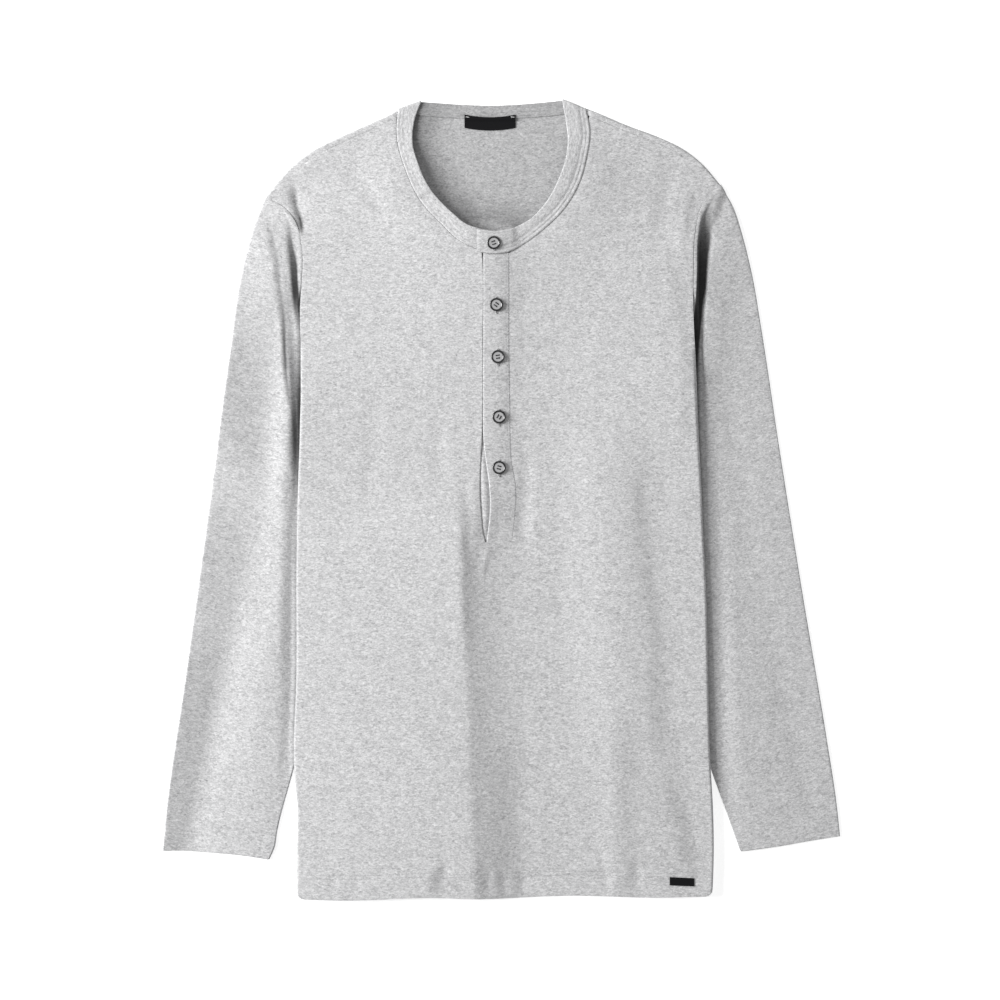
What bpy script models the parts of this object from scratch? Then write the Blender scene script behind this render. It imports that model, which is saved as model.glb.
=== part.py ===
"""A long-sleeved henley shirt, lying face up and smoothed flat on a level surface.

Blender 4.5, metres, +Z up. The length runs along Y with the neck at +Y. The wearer's right
is at -X and the wearer's left at +X. The cloth rests on z = 0.

Every sheet of cloth is a grid of points on the middle of its thickness, worked out from the
tables below, and is then given its thickness on both sides. Tables are in millimetres, one
row for each place along an edge or a fold, with the columns named above them. A table for
one side of the shirt counts "out" from the middle line towards that side.
"""

import math

import bpy
import numpy as np

MM = 0.001
RIGHT, LEFT = -1, 1  # the wearer's right and left, as the sign of X

# ---- Cloth ----
WALL = 1.2          # thickness of one layer of jersey
STRIP = 2.0         # thickness of a band or strip, which is folded double
SEAM_GAP = 0.3      # space between two pieces at a seam
AIR = 2.6           # from the middle of the back's wall to the middle of the front's
PUFF = 2.0          # how much further the front stands off away from its edges
EDGE_EASE = 34.0    # width over which the front settles towards its edges
HEM_PUFF = 0.4      # share of the puff that is left at the hem
HEM_PUFF_FROM, HEM_PUFF_EASE = -380.0, 70.0    # y of the hem, and length over which it grows again
ON_FLOOR = WALL / 2

# ---- Body outline: y, out, gap (from back to front at that edge) ----
EDGE = {
    RIGHT: [
        (-378, 193.8, 4.0), (-331, 193.8, 4.2), (-291, 193.8, 4.6), (-262, 196.7, 5.0),
        (-238, 197.4, 5.0), (-171, 195.0, 5.0), (-66, 195.0, 5.0), (18, 193.8, 5.2),
        (56, 193.2, 5.2), (110, 192.9, 5.4), (160, 192.9, 9.4), (199, 190.8, 10.0),
        (235, 189.4, 9.4), (253, 191.4, 8.2), (269, 199.0, 6.2), (279, 209.0, 4.4),
        (286, 223.0, 3.4),
    ],
    LEFT: [
        (-378, 198.8, 4.0), (-331, 200.2, 4.2), (-291, 199.3, 4.8), (-245, 196.7, 5.2),
        (-171, 194.8, 5.4), (-78, 192.5, 5.6), (-30, 190.0, 5.8), (18, 188.1, 6.2),
        (56, 186.0, 6.4), (105, 184.0, 7.0), (145, 182.6, 11.0), (189, 181.0, 12.8),
        (217, 181.0, 12.8), (253, 182.8, 11.4), (273, 187.2, 8.4), (286, 194.6, 5.4),
        (298, 205.0, 3.4),
    ],
}
UNDERARM = 104.0        # y at which the side seam ends and the armhole begins
ARMHOLE_EASE = 52.0     # length over which the rolled side opens into the armhole
HEM = [(-194, -379.0), (-150, -379.8), (-58, -377.4), (-25, -378.6), (62, -376.0),
       (150, -377.2), (199, -376.0)]                        # x, y of the hem
HEM_CORNER = 6.0        # radius of its corners
CENTRE = (-0.6, -1.0)   # middle of the shirt's outline, which is put at the origin

# ---- Shoulders: x, y of the fold from the armhole's tip to the neck ----
SHOULDER = {
    RIGHT: [(-221.2, 287.8), (-201.4, 311.5), (-187.0, 323.8), (-153.0, 342.2),
            (-125.4, 354.5), (-101.4, 365.6)],
    LEFT: [(205.0, 298.0), (187.2, 318.4), (171.5, 330.4), (147.3, 342.2),
           (118.3, 352.6), (84.6, 366.4)],
}
SHOULDER_RADIUS = 1.6   # of the middle of the wall where the back wraps over the fold
SHOULDER_LAP = 3.6      # how far in from the fold the shoulder seam lies
SHOULDER_GAP = 0.7      # space there, for the two pieces bend in different places
SHOULDER_EASE = 46.0    # width over which the front comes down to the shoulder seam
SHOULDER_TOP = ON_FLOOR + 2 * SHOULDER_RADIUS

# ---- Neckband: seam x, y and free edge x, y, from the placket up to the shoulder fold ----
BAND = {
    RIGHT: [
        (3.0, 232.5, 3.0, 254.0), (-12.0, 233.5, -11.0, 254.5), (-26.0, 238.0, -22.5, 257.0),
        (-40.9, 245.6, -31.5, 262.0), (-57.0, 260.8, -44.0, 272.0), (-77.0, 282.6, -62.0, 291.5),
        (-91.7, 313.0, -75.5, 316.5), (-99.8, 344.4, -84.0, 347.0), (-100.0, 357.0, -82.0, 362.5),
        (-98.0, 366.8, -76.6, 374.4),
    ],
    LEFT: [
        (-24.0, 234.6, -24.0, 256.0), (-8.0, 232.6, -7.0, 254.2), (8.0, 235.0, 8.0, 256.2),
        (19.0, 240.8, 14.0, 258.6), (40.9, 257.0, 29.5, 268.0), (58.9, 275.0, 45.0, 283.0),
        (72.2, 296.9, 56.0, 303.0), (80.8, 325.9, 62.2, 328.0), (83.6, 351.0, 61.8, 350.0),
        (80.0, 367.8, 57.2, 375.6),
    ],
}
# the same across the back, from the wearer's right to the left
BAND_BACK = [
    (-98.0, 366.8, -76.6, 374.4), (-70.0, 363.4, -60.0, 374.0), (-35.0, 361.9, -35.0, 372.8),
    (-9.5, 361.6, -9.5, 371.9), (12.0, 361.9, 10.0, 372.6), (46.0, 363.6, 38.0, 374.6),
    (80.0, 367.8, 57.2, 375.6),
]
BAND_PROUD = 0.4        # how far the band's middle stands above the front's
BAND_LAP = {RIGHT: -1.2, LEFT: 1.5}    # how far its ends are moved, down and up, at the placket
BAND_LAP_FROM = {RIGHT: 22.0, LEFT: 8.0}    # out to here they are fully parted
BAND_LAP_EASE = 10.0    # and over this much further they come back level
BAND_BACK_LOW, BAND_BACK_HIGH = 1.3, 2.6    # height of its seam and free edge at the back

# ---- Placket: y, x of the free edge, x of the seam ----
PLACKET = [(231.2, -18.0, 6.4), (203, -17.6, 6.6), (150, -18.4, 6.6), (95, -18.6, 7.4),
           (37, -15.6, 8.6), (15, -12.6, 12.6), (0, -11.2, 13.2), (-13, -11.4, 12.0),
           (-40, -13.6, 9.0)]
SLOT_X = -20.5          # cut edge of the front on the wearer's right of the placket
SLOT_END = -40.4        # y at which the cut ends
SLOT_TOP = 231.2        # y at which the strips begin, below the band
SLOT_CORNER = 3.0       # least spacing of the cut edge's points at its corners
SLOT_CORNER_GAP = 1.2   # space below the band at the corner, where the band's ends part
UNDER_LEFT, UNDER_RIGHT, UNDER_END = -28.0, 3.0, -45.0
TOP_RISE = 0.5          # middle of the upper strip above the middle of the front
UNDER_DROP = 2.15       # middle of the lower strip below it

# ---- Buttons: x, y, turn in degrees; the first is on the neckband ----
BUTTONS = [(-7.8, 242.8, 20), (-5.3, 184.5, -35), (-3.9, 135.2, 10), (-2.8, 78.2, 60),
           (-2.7, 30.2, -15)]
BUTTON_RADIUS = 6.35
BUTTON_THICK = 2.4
# its rings from the base up, over the rim and down into the dish: shares of radius and thickness
BUTTON_RINGS = [(0.80, 0.00), (1.00, 0.50), (0.93, 1.00), (0.78, 1.00), (0.62, 0.71)]
BUTTON_SIDES = 16
BUTTON_HOLE = 0.75          # radius
BUTTON_HOLE_PITCH = 1.35    # of each hole from the middle, along X and Y
BUTTON_HOLE_SIDES = 8

# ---- Labels: x and y limits ----
NECK_LABEL = (-35.0, 12.6, 350.4, 361.2)
HEM_LABEL = (158.8, 182.0, -365.6, -358.4)
LABEL_THICK = 0.8
LABEL_COLUMNS, LABEL_ROWS = 5, 3

# ---- Folds of the front: from x, y to x, y, width to the right and left as worn, rise ----
FRONT_FOLDS = [
    (-20.0, 262, -21.5, -36, 150, 46, 2.6),
    (-22.0, -20, -25.0, -420, 150, 34, 3.6),
    (84.0, 20, 90.0, -420, 48, 44, 1.5),
    (128.0, 120, 138.0, -80, 30, 26, -1.5),
    (138.0, -90, 178.0, -350, 30, 22, -1.9),
    (159.0, 70, 176.0, -170, 22, 15, 1.1),
]
FOLD_FADE = 60.0        # length over which a fold dies away at its ends

# ---- Sleeves: outer silhouette, hidden and visible inner silhouette, cuff: out, y ----
SLEEVE_OUTER = {
    RIGHT: [(227.4, 287.0), (236.0, 260.0), (243.4, 235.0), (250.8, 199.0), (256.6, 153.4),
            (266.5, 47.0), (288.8, -86.0), (308.8, -222.8), (319.0, -300.0), (322.4, -333.5)],
    LEFT: [(207.5, 298.5), (217.4, 282.0), (227.6, 253.0), (238.5, 215.2), (247.0, 162.0),
           (263.2, 50.8), (285.0, -86.0), (307.8, -222.8), (318.0, -290.0), (321.2, -319.7)],
}
SLEEVE_INNER = {
    RIGHT: [(193.4, 57.0), (192.0, 36.0), (181.0, -2.0), (168.0, -48.0), (163.0, -105.0),
            (176.0, -163.0), (197.6, -256.0), (220.9, -342.1)],
    LEFT: [(186.0, 57.0), (184.6, 36.0), (172.0, -2.0), (155.0, -46.0), (149.0, -100.0),
           (164.0, -160.0), (196.7, -251.3), (226.1, -334.4)],
}
CUFF = {
    RIGHT: [(322.4, -333.5), (306.4, -333.3), (281.2, -334.9), (248.9, -337.7), (220.9, -342.1)],
    LEFT: [(321.2, -319.7), (290.0, -324.6), (266.0, -328.8), (226.1, -334.4)],
}
OUTER_ROLL = [(0.0, 1.4), (0.1, 2.2), (0.3, 2.6), (0.6, 2.2), (0.9, 1.4), (1.0, 1.2)]   # t, radius
INNER_ROLL = 1.2        # radius of the middle of the wall at the sleeve's inner fold
SLEEVE_PUFF = [(0.0, 2.0), (0.08, 5.0), (0.25, 5.2), (0.5, 3.0), (0.8, 1.6), (1.0, 0.5)]    # t, rise
TUCK_EASE = 30.0        # width over which a sleeve flattens before it passes under the body
# the hollow beside the armhole: y, width, width of the rise beyond it, height of its floor
HOLLOW = {
    RIGHT: [(-380, 1, 5, 3.1), (38, 1, 4, 3.1), (69, 1.5, 6, 3.2), (106, 2, 9, 3.3),
            (148, 3, 12, 3.6), (185, 4, 15, 4.0), (235, 6, 20, 4.4), (262, 6, 15, 4.4), (286, 1, 6, 3.4)],
    LEFT: [(-380, 1, 11, 3.1), (100, 2, 10, 3.1), (143, 4.5, 9, 3.1), (171, 7, 7, 3.1),
           (217, 11, 6, 3.2), (250, 12, 6, 3.6), (271, 8, 8, 4.2), (286, 3, 8, 4.2), (298, 1, 6, 3.4)],
}
HOLLOW_LIP = 3.8        # strip of sleeve beside the seam before the hollow drops
HOLLOW_WALL = 2.2       # width of that drop
LIP_FROM, LIP_EASE = 144.0, 60.0    # y from which that strip rises to the seam, and over what length
TUCK_BELOW = 84.0       # y below which the sleeve passes under the body
TUCK_LIP = 8.0          # and the width over which it rises again beyond the body's edge
# how far out a sleeve's hidden inner edge runs above the underarm: y, out
SLEEVE_INNER_ABOVE = [(112.0, 192.0), (150.0, 232.0), (190.0, 262.0)]
# soft folds along a sleeve: place across it from 0 (outer) to 1, width, rise, from t, to t
SLEEVE_FOLDS = {
    RIGHT: [(0.22, 0.12, -1.1, 0.12, 0.95), (0.50, 0.20, 0.9, 0.10, 0.80)],
    LEFT: [(0.20, 0.12, -0.8, 0.20, 0.95), (0.45, 0.20, 0.9, 0.15, 0.90)],
}
SLEEVE_FADE = 0.1       # share of the sleeve over which a fold dies away at its ends

# ---- What lies beneath the back: a sleeve lifts it by this much ----
LIFT = 5.4
LIFT_START = 12.0       # how far beyond the sleeve's inner edge the back begins to come down
LIFT_EASE = 42.0        # and over what width it reaches the floor

# ---- Where the body and a sleeve meet ----
ARMHOLE_GAP = 0.6       # space between the body and a sleeve in plan
ARMHOLE_FOOT = 57.0     # y at which the sleeve's underarm seam begins

# ---- Density of the grids: shares of a length or width, and counts of steps ----
CURVE_STEPS = 600
EDGE_STEPS = 60
ACROSS = [0, 0.0026, 0.009, 0.018, 0.045, 0.09, 0.15, 0.23, 0.32, 0.43, 0.55, 0.68, 0.82, 1]
ARMHOLE = [0, 0.03, 0.06, 0.1, 0.15, 0.21, 0.3, 0.4, 0.52, 0.66, 0.82, 1]
ARMHOLE_BELOW = [0, 1, 2, 3, 4, 5, 7, 9, 11]        # the ones that the back and lower layers use
BACK_SHOULDER = [0, 0.006, 0.02, 0.04, 0.1, 0.2, 0.34, 0.5, 0.66, 0.83, 1]
BACK_NECK_COLUMNS = 10
SLOT_ROWS = 9
SIDE_ROWS_BACK = 4
LOWER_ROWS = 10
SLOT_COLUMNS = 3
WRAP_STEPS = 5
SLEEVE_ROWS = [0, 0.006, 0.012, 0.02, 0.034, 0.05, 0.075, 0.11, 0.16, 0.22, 0.29, 0.37, 0.45, 0.53,
               0.61, 0.69, 0.77, 0.85, 0.93, 1]
ROLL_STEPS = 4
BAND_STATIONS, BAND_BACK_STATIONS, BAND_ACROSS = 16, 12, 3
PLACKET_ACROSS = 3
SAME_PLACE = 0.001      # points this near each other are one

# ---- Finish: colour, roughness ----
GREY_JERSEY = ((0.60, 0.60, 0.605), 0.95)
BUTTON_FINISH = ((0.55, 0.55, 0.56), 0.30)
LABEL_FINISH = ((0.012, 0.012, 0.013), 0.75)


# ---------------------------------------------------------------- numbers and curves

def smooth(value):
    """Ease from 0 to 1 while the value goes from 0 to 1."""
    value = np.clip(value, 0.0, 1.0)
    return value * value * (3.0 - 2.0 * value)


def mix(first, second, share):
    return first + (second - first) * share


def track(table, key, column):
    """A column of a table read at any key, on a smooth curve through its rows."""
    rows = np.array(table, float)
    rows = rows[np.argsort(rows[:, 0])]
    keys, values = rows[:, 0], rows[:, column]
    slopes = np.gradient(values, keys)
    key = np.clip(key, keys[0], keys[-1])
    low = np.clip(np.searchsorted(keys, key, side="right") - 1, 0, len(keys) - 2)
    span = keys[low + 1] - keys[low]
    u = (key - keys[low]) / span
    start = values[low] * (2 * u**3 - 3 * u**2 + 1) + slopes[low] * span * (u**3 - 2 * u**2 + u)
    end = values[low + 1] * (3 * u**2 - 2 * u**3) + slopes[low + 1] * span * (u**3 - u**2)
    return start + end


def path(points, fractions):
    """Points at fractions of the length of a smooth curve through the given points."""
    points = np.array(points, float)
    steps = np.linalg.norm(np.diff(points[:, :2], axis=0), axis=1)
    reach = np.concatenate(([0.0], np.cumsum(steps)))
    table = np.column_stack((reach, points))
    dense = np.linspace(0.0, reach[-1], CURVE_STEPS)
    line = np.column_stack([track(table, dense, 1 + k) for k in range(points.shape[1])])
    steps = np.linalg.norm(np.diff(line[:, :2], axis=0), axis=1)
    length = np.concatenate(([0.0], np.cumsum(steps)))
    fractions = np.asarray(fractions, float)
    return np.column_stack([np.interp(fractions * length[-1], length, line[:, k])
                            for k in range(points.shape[1])])


def normals_of(line):
    """Unit normals in plan, to the left of the way a line of points runs."""
    along = np.gradient(line[:, :2], axis=0)
    along /= np.linalg.norm(along, axis=1, keepdims=True)
    return np.column_stack((-along[:, 1], along[:, 0]))


def coons(top, bottom, outer, inner, u, v):
    """A grid in plan between four edges: rows run from outer to inner, from top to bottom."""
    u = np.asarray(u)[None, :, None]
    v = np.asarray(v)[:, None, None]
    across = (1 - u) * outer[:, None] + u * inner[:, None]
    down = (1 - v) * top[None] + v * bottom[None]
    corners = ((1 - u) * (1 - v) * top[0] + u * (1 - v) * top[-1]
               + (1 - u) * v * bottom[0] + u * v * bottom[-1])
    return across + down - corners


# ---------------------------------------------------------------- where the cloth lies

def edge_out(side, y):
    """How far out the body's edge is on one side."""
    return track(EDGE[side], y, 1)


def inside_edge(side, x, y):
    """Distance in from the body's edge on one side; negative beyond it."""
    step = 1.0
    lean = (edge_out(side, y + step) - edge_out(side, y - step)) / (2 * step)
    return (edge_out(side, y) - side * x) / np.sqrt(1 + lean * lean)


def sleeve_fold_out(side, y):
    """How far out the sleeve's hidden inner edge is; beyond the body's edge above the underarm."""
    rows = SLEEVE_INNER_ABOVE + [(row[1], row[0]) for row in SLEEVE_INNER[side]]
    return track(rows, y, 1)


def back_lift(x, y):
    """How far the back is lifted off the floor by the sleeves folded beneath it."""
    lift = 0.0
    for side in (RIGHT, LEFT):
        inward = sleeve_fold_out(side, y) - side * x
        lift = lift + LIFT * (1 - smooth((inward - LIFT_START) / LIFT_EASE))
    return lift


def armhole_share(y):
    """0 along the side seam and 1 along the armhole."""
    return smooth((y - UNDERARM) / ARMHOLE_EASE)


def roll(side, x, y):
    """How far the rolled side edge turns away from the flat of its panel."""
    radius = track(EDGE[side], y, 2) / 2
    inside = np.clip(inside_edge(side, x, y), 0.0, radius)
    turn = radius - np.sqrt(radius**2 - (radius - inside)**2)
    return turn * (1 - armhole_share(y))


def back_height(x, y):
    """Middle of the back's wall."""
    lift = back_lift(x, y) * (1 - armhole_share(y))
    return ON_FLOOR + lift + roll(RIGHT, x, y) + roll(LEFT, x, y)


def fold_relief(folds, x, y):
    """Sum of soft folds along straight lines, each with its own width to either side."""
    relief = 0.0
    for x0, y0, x1, y1, right, left, rise in folds:
        length = math.hypot(x1 - x0, y1 - y0)
        ux, uy = (x1 - x0) / length, (y1 - y0) / length
        along = (x - x0) * ux + (y - y0) * uy
        across = (x - x0) * -uy + (y - y0) * ux
        width = np.where(across < 0, right, left)
        profile = np.clip(1 - (across / width)**2, 0.0, 1.0)**2
        fade = smooth((along + FOLD_FADE / 2) / FOLD_FADE)
        fade = fade * smooth((length - along + FOLD_FADE / 2) / FOLD_FADE)
        relief = relief + rise * profile * fade
    return relief


def below_shoulder(x, y):
    """Distance in plan from the fold of the nearer shoulder."""
    nearest = np.full(np.shape(x), np.inf)
    for side in (RIGHT, LEFT):
        line = path(SHOULDER[side], np.linspace(0, 1, EDGE_STEPS))
        gaps = np.hypot(np.asarray(x)[..., None] - line[:, 0], np.asarray(y)[..., None] - line[:, 1])
        nearest = np.minimum(nearest, gaps.min(axis=-1))
    return nearest


def front_height(x, y):
    """Middle of the front's wall, above whatever lies beneath it."""
    x, y = np.asarray(x, float), np.asarray(y, float)
    ground = ON_FLOOR + back_lift(x, y) * (1 - armhole_share(y))
    puff = PUFF * mix(HEM_PUFF, 1.0, smooth((y - HEM_PUFF_FROM) / HEM_PUFF_EASE))
    height = ground + AIR + puff + fold_relief(FRONT_FOLDS, x, y)
    for side in (RIGHT, LEFT):
        share = smooth(inside_edge(side, x, y) / EDGE_EASE)
        height = mix(ground + track(EDGE[side], y, 2), height, share)
    height = mix(SHOULDER_TOP, height, smooth((below_shoulder(x, y) - SHOULDER_LAP) / SHOULDER_EASE))
    return height - roll(RIGHT, x, y) - roll(LEFT, x, y)


# ---------------------------------------------------------------- meshes

class Sheet:
    """A surface gathered from grids of points, joined where their points meet."""

    def __init__(self):
        self.points = []
        self.quads = []
        self.count = 0

    def grid(self, points, closed=False):
        """Add rows by columns of points in millimetres; closed joins the last column to the first."""
        rows, columns = points.shape[:2]
        index = self.count + np.arange(rows * columns).reshape(rows, columns)
        ahead = np.roll(index, -1, axis=1) if closed else index[:, 1:]
        here = index if closed else index[:, :-1]
        quads = np.stack((here[:-1], here[1:], ahead[1:], ahead[:-1]), axis=-1)
        self.points.append(points.reshape(-1, 3))
        self.quads.append(quads.reshape(-1, 4))
        self.count += rows * columns
        return self

    def joined(self):
        """The points and quads, with points in the same place made one."""
        points = np.concatenate(self.points)
        quads = np.concatenate(self.quads)
        key = np.round(points / SAME_PLACE).astype(np.int64)
        _, first, index = np.unique(key, axis=0, return_index=True, return_inverse=True)
        return points[first], index.reshape(-1)[quads]


def point_normals(points, quads):
    """Normals of the points, from the quads round them, weighted by their area."""
    diagonal_1 = points[quads[:, 2]] - points[quads[:, 0]]
    diagonal_2 = points[quads[:, 3]] - points[quads[:, 1]]
    across = np.cross(diagonal_1, diagonal_2)
    normals = np.zeros_like(points)
    for corner in range(4):
        np.add.at(normals, quads[:, corner], across)
    return normals / np.linalg.norm(normals, axis=1, keepdims=True)


def rim_edges(quads):
    """Edges that belong to one quad only, in the direction that quad runs."""
    ends = np.concatenate([quads[:, [k, (k + 1) % 4]] for k in range(4)])
    owners = {}
    for a, b in ends.tolist():
        owners[(a, b)] = owners.get((a, b), 0) + 1
    return [(a, b) for a, b in owners if (b, a) not in owners]


def material(name, finish):
    colour, roughness = finish
    made = bpy.data.materials.new(name)
    made.use_nodes = True
    shader = made.node_tree.nodes["Principled BSDF"]
    shader.inputs["Base Color"].default_value = (*colour, 1.0)
    shader.inputs["Roughness"].default_value = roughness
    shader.inputs["Metallic"].default_value = 0.0
    made.diffuse_color = (*colour, 1.0)
    return made


def add_object(name, points, faces, finish):
    """One named object from points in millimetres, with its own material."""
    mesh = bpy.data.meshes.new(name)
    mesh.from_pydata(((points - (*CENTRE, 0.0)) * MM).tolist(), [], faces)
    mesh.update()
    made = bpy.data.objects.new(name, mesh)
    mesh.materials.append(material(name, finish))
    mesh.shade_smooth()
    bpy.context.scene.collection.objects.link(made)
    return made


def wall(name, sheet, thickness, finish):
    """A closed wall of even thickness about a sheet."""
    points, quads = sheet.joined()
    normals = point_normals(points, quads)
    count = len(points)
    both = np.concatenate((points + normals * thickness / 2, points - normals * thickness / 2))
    faces = quads.tolist()
    faces += (quads[:, ::-1] + count).tolist()
    faces += [(b, a, a + count, b + count) for a, b in rim_edges(quads)]
    return add_object(name, both, faces, finish)


# ---------------------------------------------------------------- body

def band_stations(side):
    """Seam and free edge of the band in plan: rows of seam x, y and free x, y."""
    return path(BAND[side], np.linspace(0, 1, BAND_STATIONS))


def neck_edge(side, seam_end):
    """The front's cut edge round the neck, just clear of the band, from the shoulder seam down."""
    seam = band_stations(side)[:, :2]
    edge = seam - side * normals_of(seam) * SEAM_GAP
    corner_x = slot_edge(side, SLOT_TOP)
    outside = side * edge[:, 0] > side * corner_x + SLOT_CORNER
    below = edge[:, 1] < seam_end[1] - SLOT_CORNER
    corner_y = np.interp(side * corner_x, side * edge[:, 0], edge[:, 1]) - SLOT_CORNER_GAP
    return np.concatenate(([seam_end], edge[outside & below][::-1], [(corner_x, corner_y)]))


def slot_edge(side, y):
    """X of the front's cut edge beside the placket."""
    if side == RIGHT:
        return SLOT_X
    return float(track(PLACKET, y, 2)) + SEAM_GAP


def shoulder_seam(side, inset):
    """Points along a shoulder, set in from its fold, from the armhole to the neck."""
    line = path(SHOULDER[side], np.linspace(0, 1, EDGE_STEPS))
    return line + side * normals_of(line) * inset


def side_line(side, ys):
    return np.column_stack((side * edge_out(side, ys), ys))


def resampled(line, fractions):
    """A line of points read again at fractions of its length, without smoothing its corners."""
    steps = np.linalg.norm(np.diff(line, axis=0), axis=1)
    length = np.concatenate(([0.0], np.cumsum(steps)))
    wanted = np.asarray(fractions) * length[-1]
    return np.column_stack([np.interp(wanted, length, line[:, k]) for k in (0, 1)])


def lift_to(plan, height):
    """A plan grid with heights from a function of x and y."""
    return np.dstack((plan, height(plan[..., 0], plan[..., 1])))


def ordered(side, grid):
    """Rows of a right-hand grid run towards the middle, those of a left-hand one away from it."""
    return grid if side == RIGHT else grid[:, ::-1]


def slot_ys():
    """Heights along the placket at which the strips and the cut edges have their points."""
    return np.linspace(SLOT_TOP, SLOT_END, SLOT_ROWS + 1)


def armhole_line(side):
    """The armhole in plan, from the shoulder tip to the underarm, at its chosen points."""
    ys = np.linspace(EDGE[side][-1][0], ARMHOLE_FOOT, CURVE_STEPS)
    return resampled(side_line(side, ys), ARMHOLE)


def front_upper(side):
    """Plan of the front from one shoulder down to the end of the slot."""
    seam = shoulder_seam(side, SHOULDER_LAP + SHOULDER_GAP)
    neck = neck_edge(side, seam[-1])
    slot = np.array([(slot_edge(side, y), y) for y in slot_ys()])
    inner = np.concatenate((neck, slot))
    armhole = armhole_line(side)
    side_ys = np.linspace(armhole[-1, 1], SLOT_END, len(inner) - len(armhole) + 1)[1:]
    outer = np.concatenate((armhole, side_line(side, side_ys)))
    outer[0] = seam[0]
    v = np.linspace(0, 1, len(inner))
    top = resampled(seam, ACROSS)
    bottom = mix(outer[-1], inner[-1], np.array(ACROSS)[:, None])
    return ordered(side, coons(top, bottom, outer, inner, ACROSS, v))


def lower_body(top_x, top_y, rows):
    """Plan of a panel from a level line down to the hem; its columns keep their share of the width."""
    width = top_x[-1] - top_x[0]
    share = (top_x - top_x[0]) / width
    hem_y = track(HEM, mix(HEM[0][0], HEM[-1][0], share), 1)
    inside = np.clip(np.minimum(share, 1 - share) * width, 0.0, HEM_CORNER)
    hem_y = hem_y + HEM_CORNER - np.sqrt(HEM_CORNER**2 - (HEM_CORNER - inside)**2)
    plan = np.zeros((rows + 1, len(share), 2))
    for k in range(rows + 1):
        y = mix(top_y, hem_y, k / rows)
        out_right = -edge_out(RIGHT, y)
        out_left = edge_out(LEFT, y)
        plan[k, :, 0] = mix(out_right, out_left, share)
        plan[k, :, 1] = y
    plan[0, :, 0] = top_x
    return plan


def seam_clearance(points, direction):
    """Draw the side seam's edge back by half the seam gap: up on the front, down on the back."""
    share = 1 - armhole_share(points[:, (0, -1), 1])
    points[:, (0, -1), 2] += direction * SEAM_GAP * share
    inward = np.array([1.0, -1.0]) * SEAM_GAP / 2 * (1 - share)
    points[:, (0, -1), 0] += inward
    return points


def front_panel():
    """Front: two halves either side of the placket's slot, and the rest below it."""
    halves = [front_upper(RIGHT), front_upper(LEFT)]
    slot_end = np.linspace(halves[0][-1, -1, 0], halves[1][-1, 0, 0], SLOT_COLUMNS + 1)[1:-1]
    top_x = np.concatenate((halves[0][-1, :, 0], slot_end, halves[1][-1, :, 0]))
    sheet = Sheet()
    for plan, edge in zip(halves, (0, -1)):
        points = lift_to(plan, front_height)
        points[:, edge] = seam_clearance(points.copy(), 1)[:, edge]
        sheet.grid(points)
    sheet.grid(seam_clearance(lift_to(lower_body(top_x, SLOT_END, LOWER_ROWS), front_height), 1))
    return wall("front_panel", sheet, WALL, GREY_JERSEY)


def back_top():
    """The back's upper edge in plan, from armhole to armhole: shoulder folds and neck seam."""
    neck = path([row[:2] for row in BAND_BACK], np.linspace(0, 1, EDGE_STEPS))
    neck = neck - normals_of(neck) * SEAM_GAP
    neck = resampled(neck, np.linspace(0, 1, BACK_NECK_COLUMNS + 1))
    right, left = (resampled(path(SHOULDER[side], np.linspace(0, 1, EDGE_STEPS)), BACK_SHOULDER)
                   for side in (RIGHT, LEFT))
    return right, neck, left[::-1]


def shoulder_wrap(side, line):
    """The back carried round the shoulder's fold and on to the shoulder seam."""
    out = side * normals_of(line if side == RIGHT else line[::-1]) * -1
    out = out if side == RIGHT else out[::-1]
    rings = [np.column_stack((line, np.full(len(line), ON_FLOOR)))]
    for k in range(1, WRAP_STEPS + 1):
        angle = math.pi * k / WRAP_STEPS
        reach = SHOULDER_RADIUS * math.sin(angle)
        height = ON_FLOOR + SHOULDER_RADIUS * (1 - math.cos(angle))
        rings.append(np.column_stack((line + out * reach, np.full(len(line), height))))
    rings.append(np.column_stack((line - out * SHOULDER_LAP, np.full(len(line), SHOULDER_TOP))))
    return np.array(rings)[::-1]


def back_panel():
    """Back: one sheet from the hem to the neck seam, wrapped over both shoulders."""
    right, neck, left = back_top()
    top = np.concatenate((right, neck[1:-1], left))
    u = (top[:, 0] - top[0, 0]) / (top[-1, 0] - top[0, 0])
    edges = []
    for side, corner in ((RIGHT, top[0]), (LEFT, top[-1])):
        armhole = armhole_line(side)[ARMHOLE_BELOW]
        ys = np.linspace(armhole[-1, 1], SLOT_END, SIDE_ROWS_BACK + 1)[1:]
        edges.append(np.concatenate((armhole, side_line(side, ys))))
        edges[-1][0] = corner
    outer, inner = edges
    v = (outer[0, 1] - outer[:, 1]) / (outer[0, 1] - outer[-1, 1])
    bottom = mix(outer[-1], inner[-1], u[:, None])
    upper = coons(top, bottom, outer, inner, u, v)
    sheet = Sheet()
    sheet.grid(seam_clearance(lift_to(upper, back_height), -1))
    lower = lower_body(upper[-1, :, 0], SLOT_END, LOWER_ROWS)
    sheet.grid(seam_clearance(lift_to(lower, back_height), -1))
    sheet.grid(shoulder_wrap(RIGHT, right))
    sheet.grid(shoulder_wrap(LEFT, left))
    return wall("back_panel", sheet, WALL, GREY_JERSEY)


# ---------------------------------------------------------------- sleeves

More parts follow.
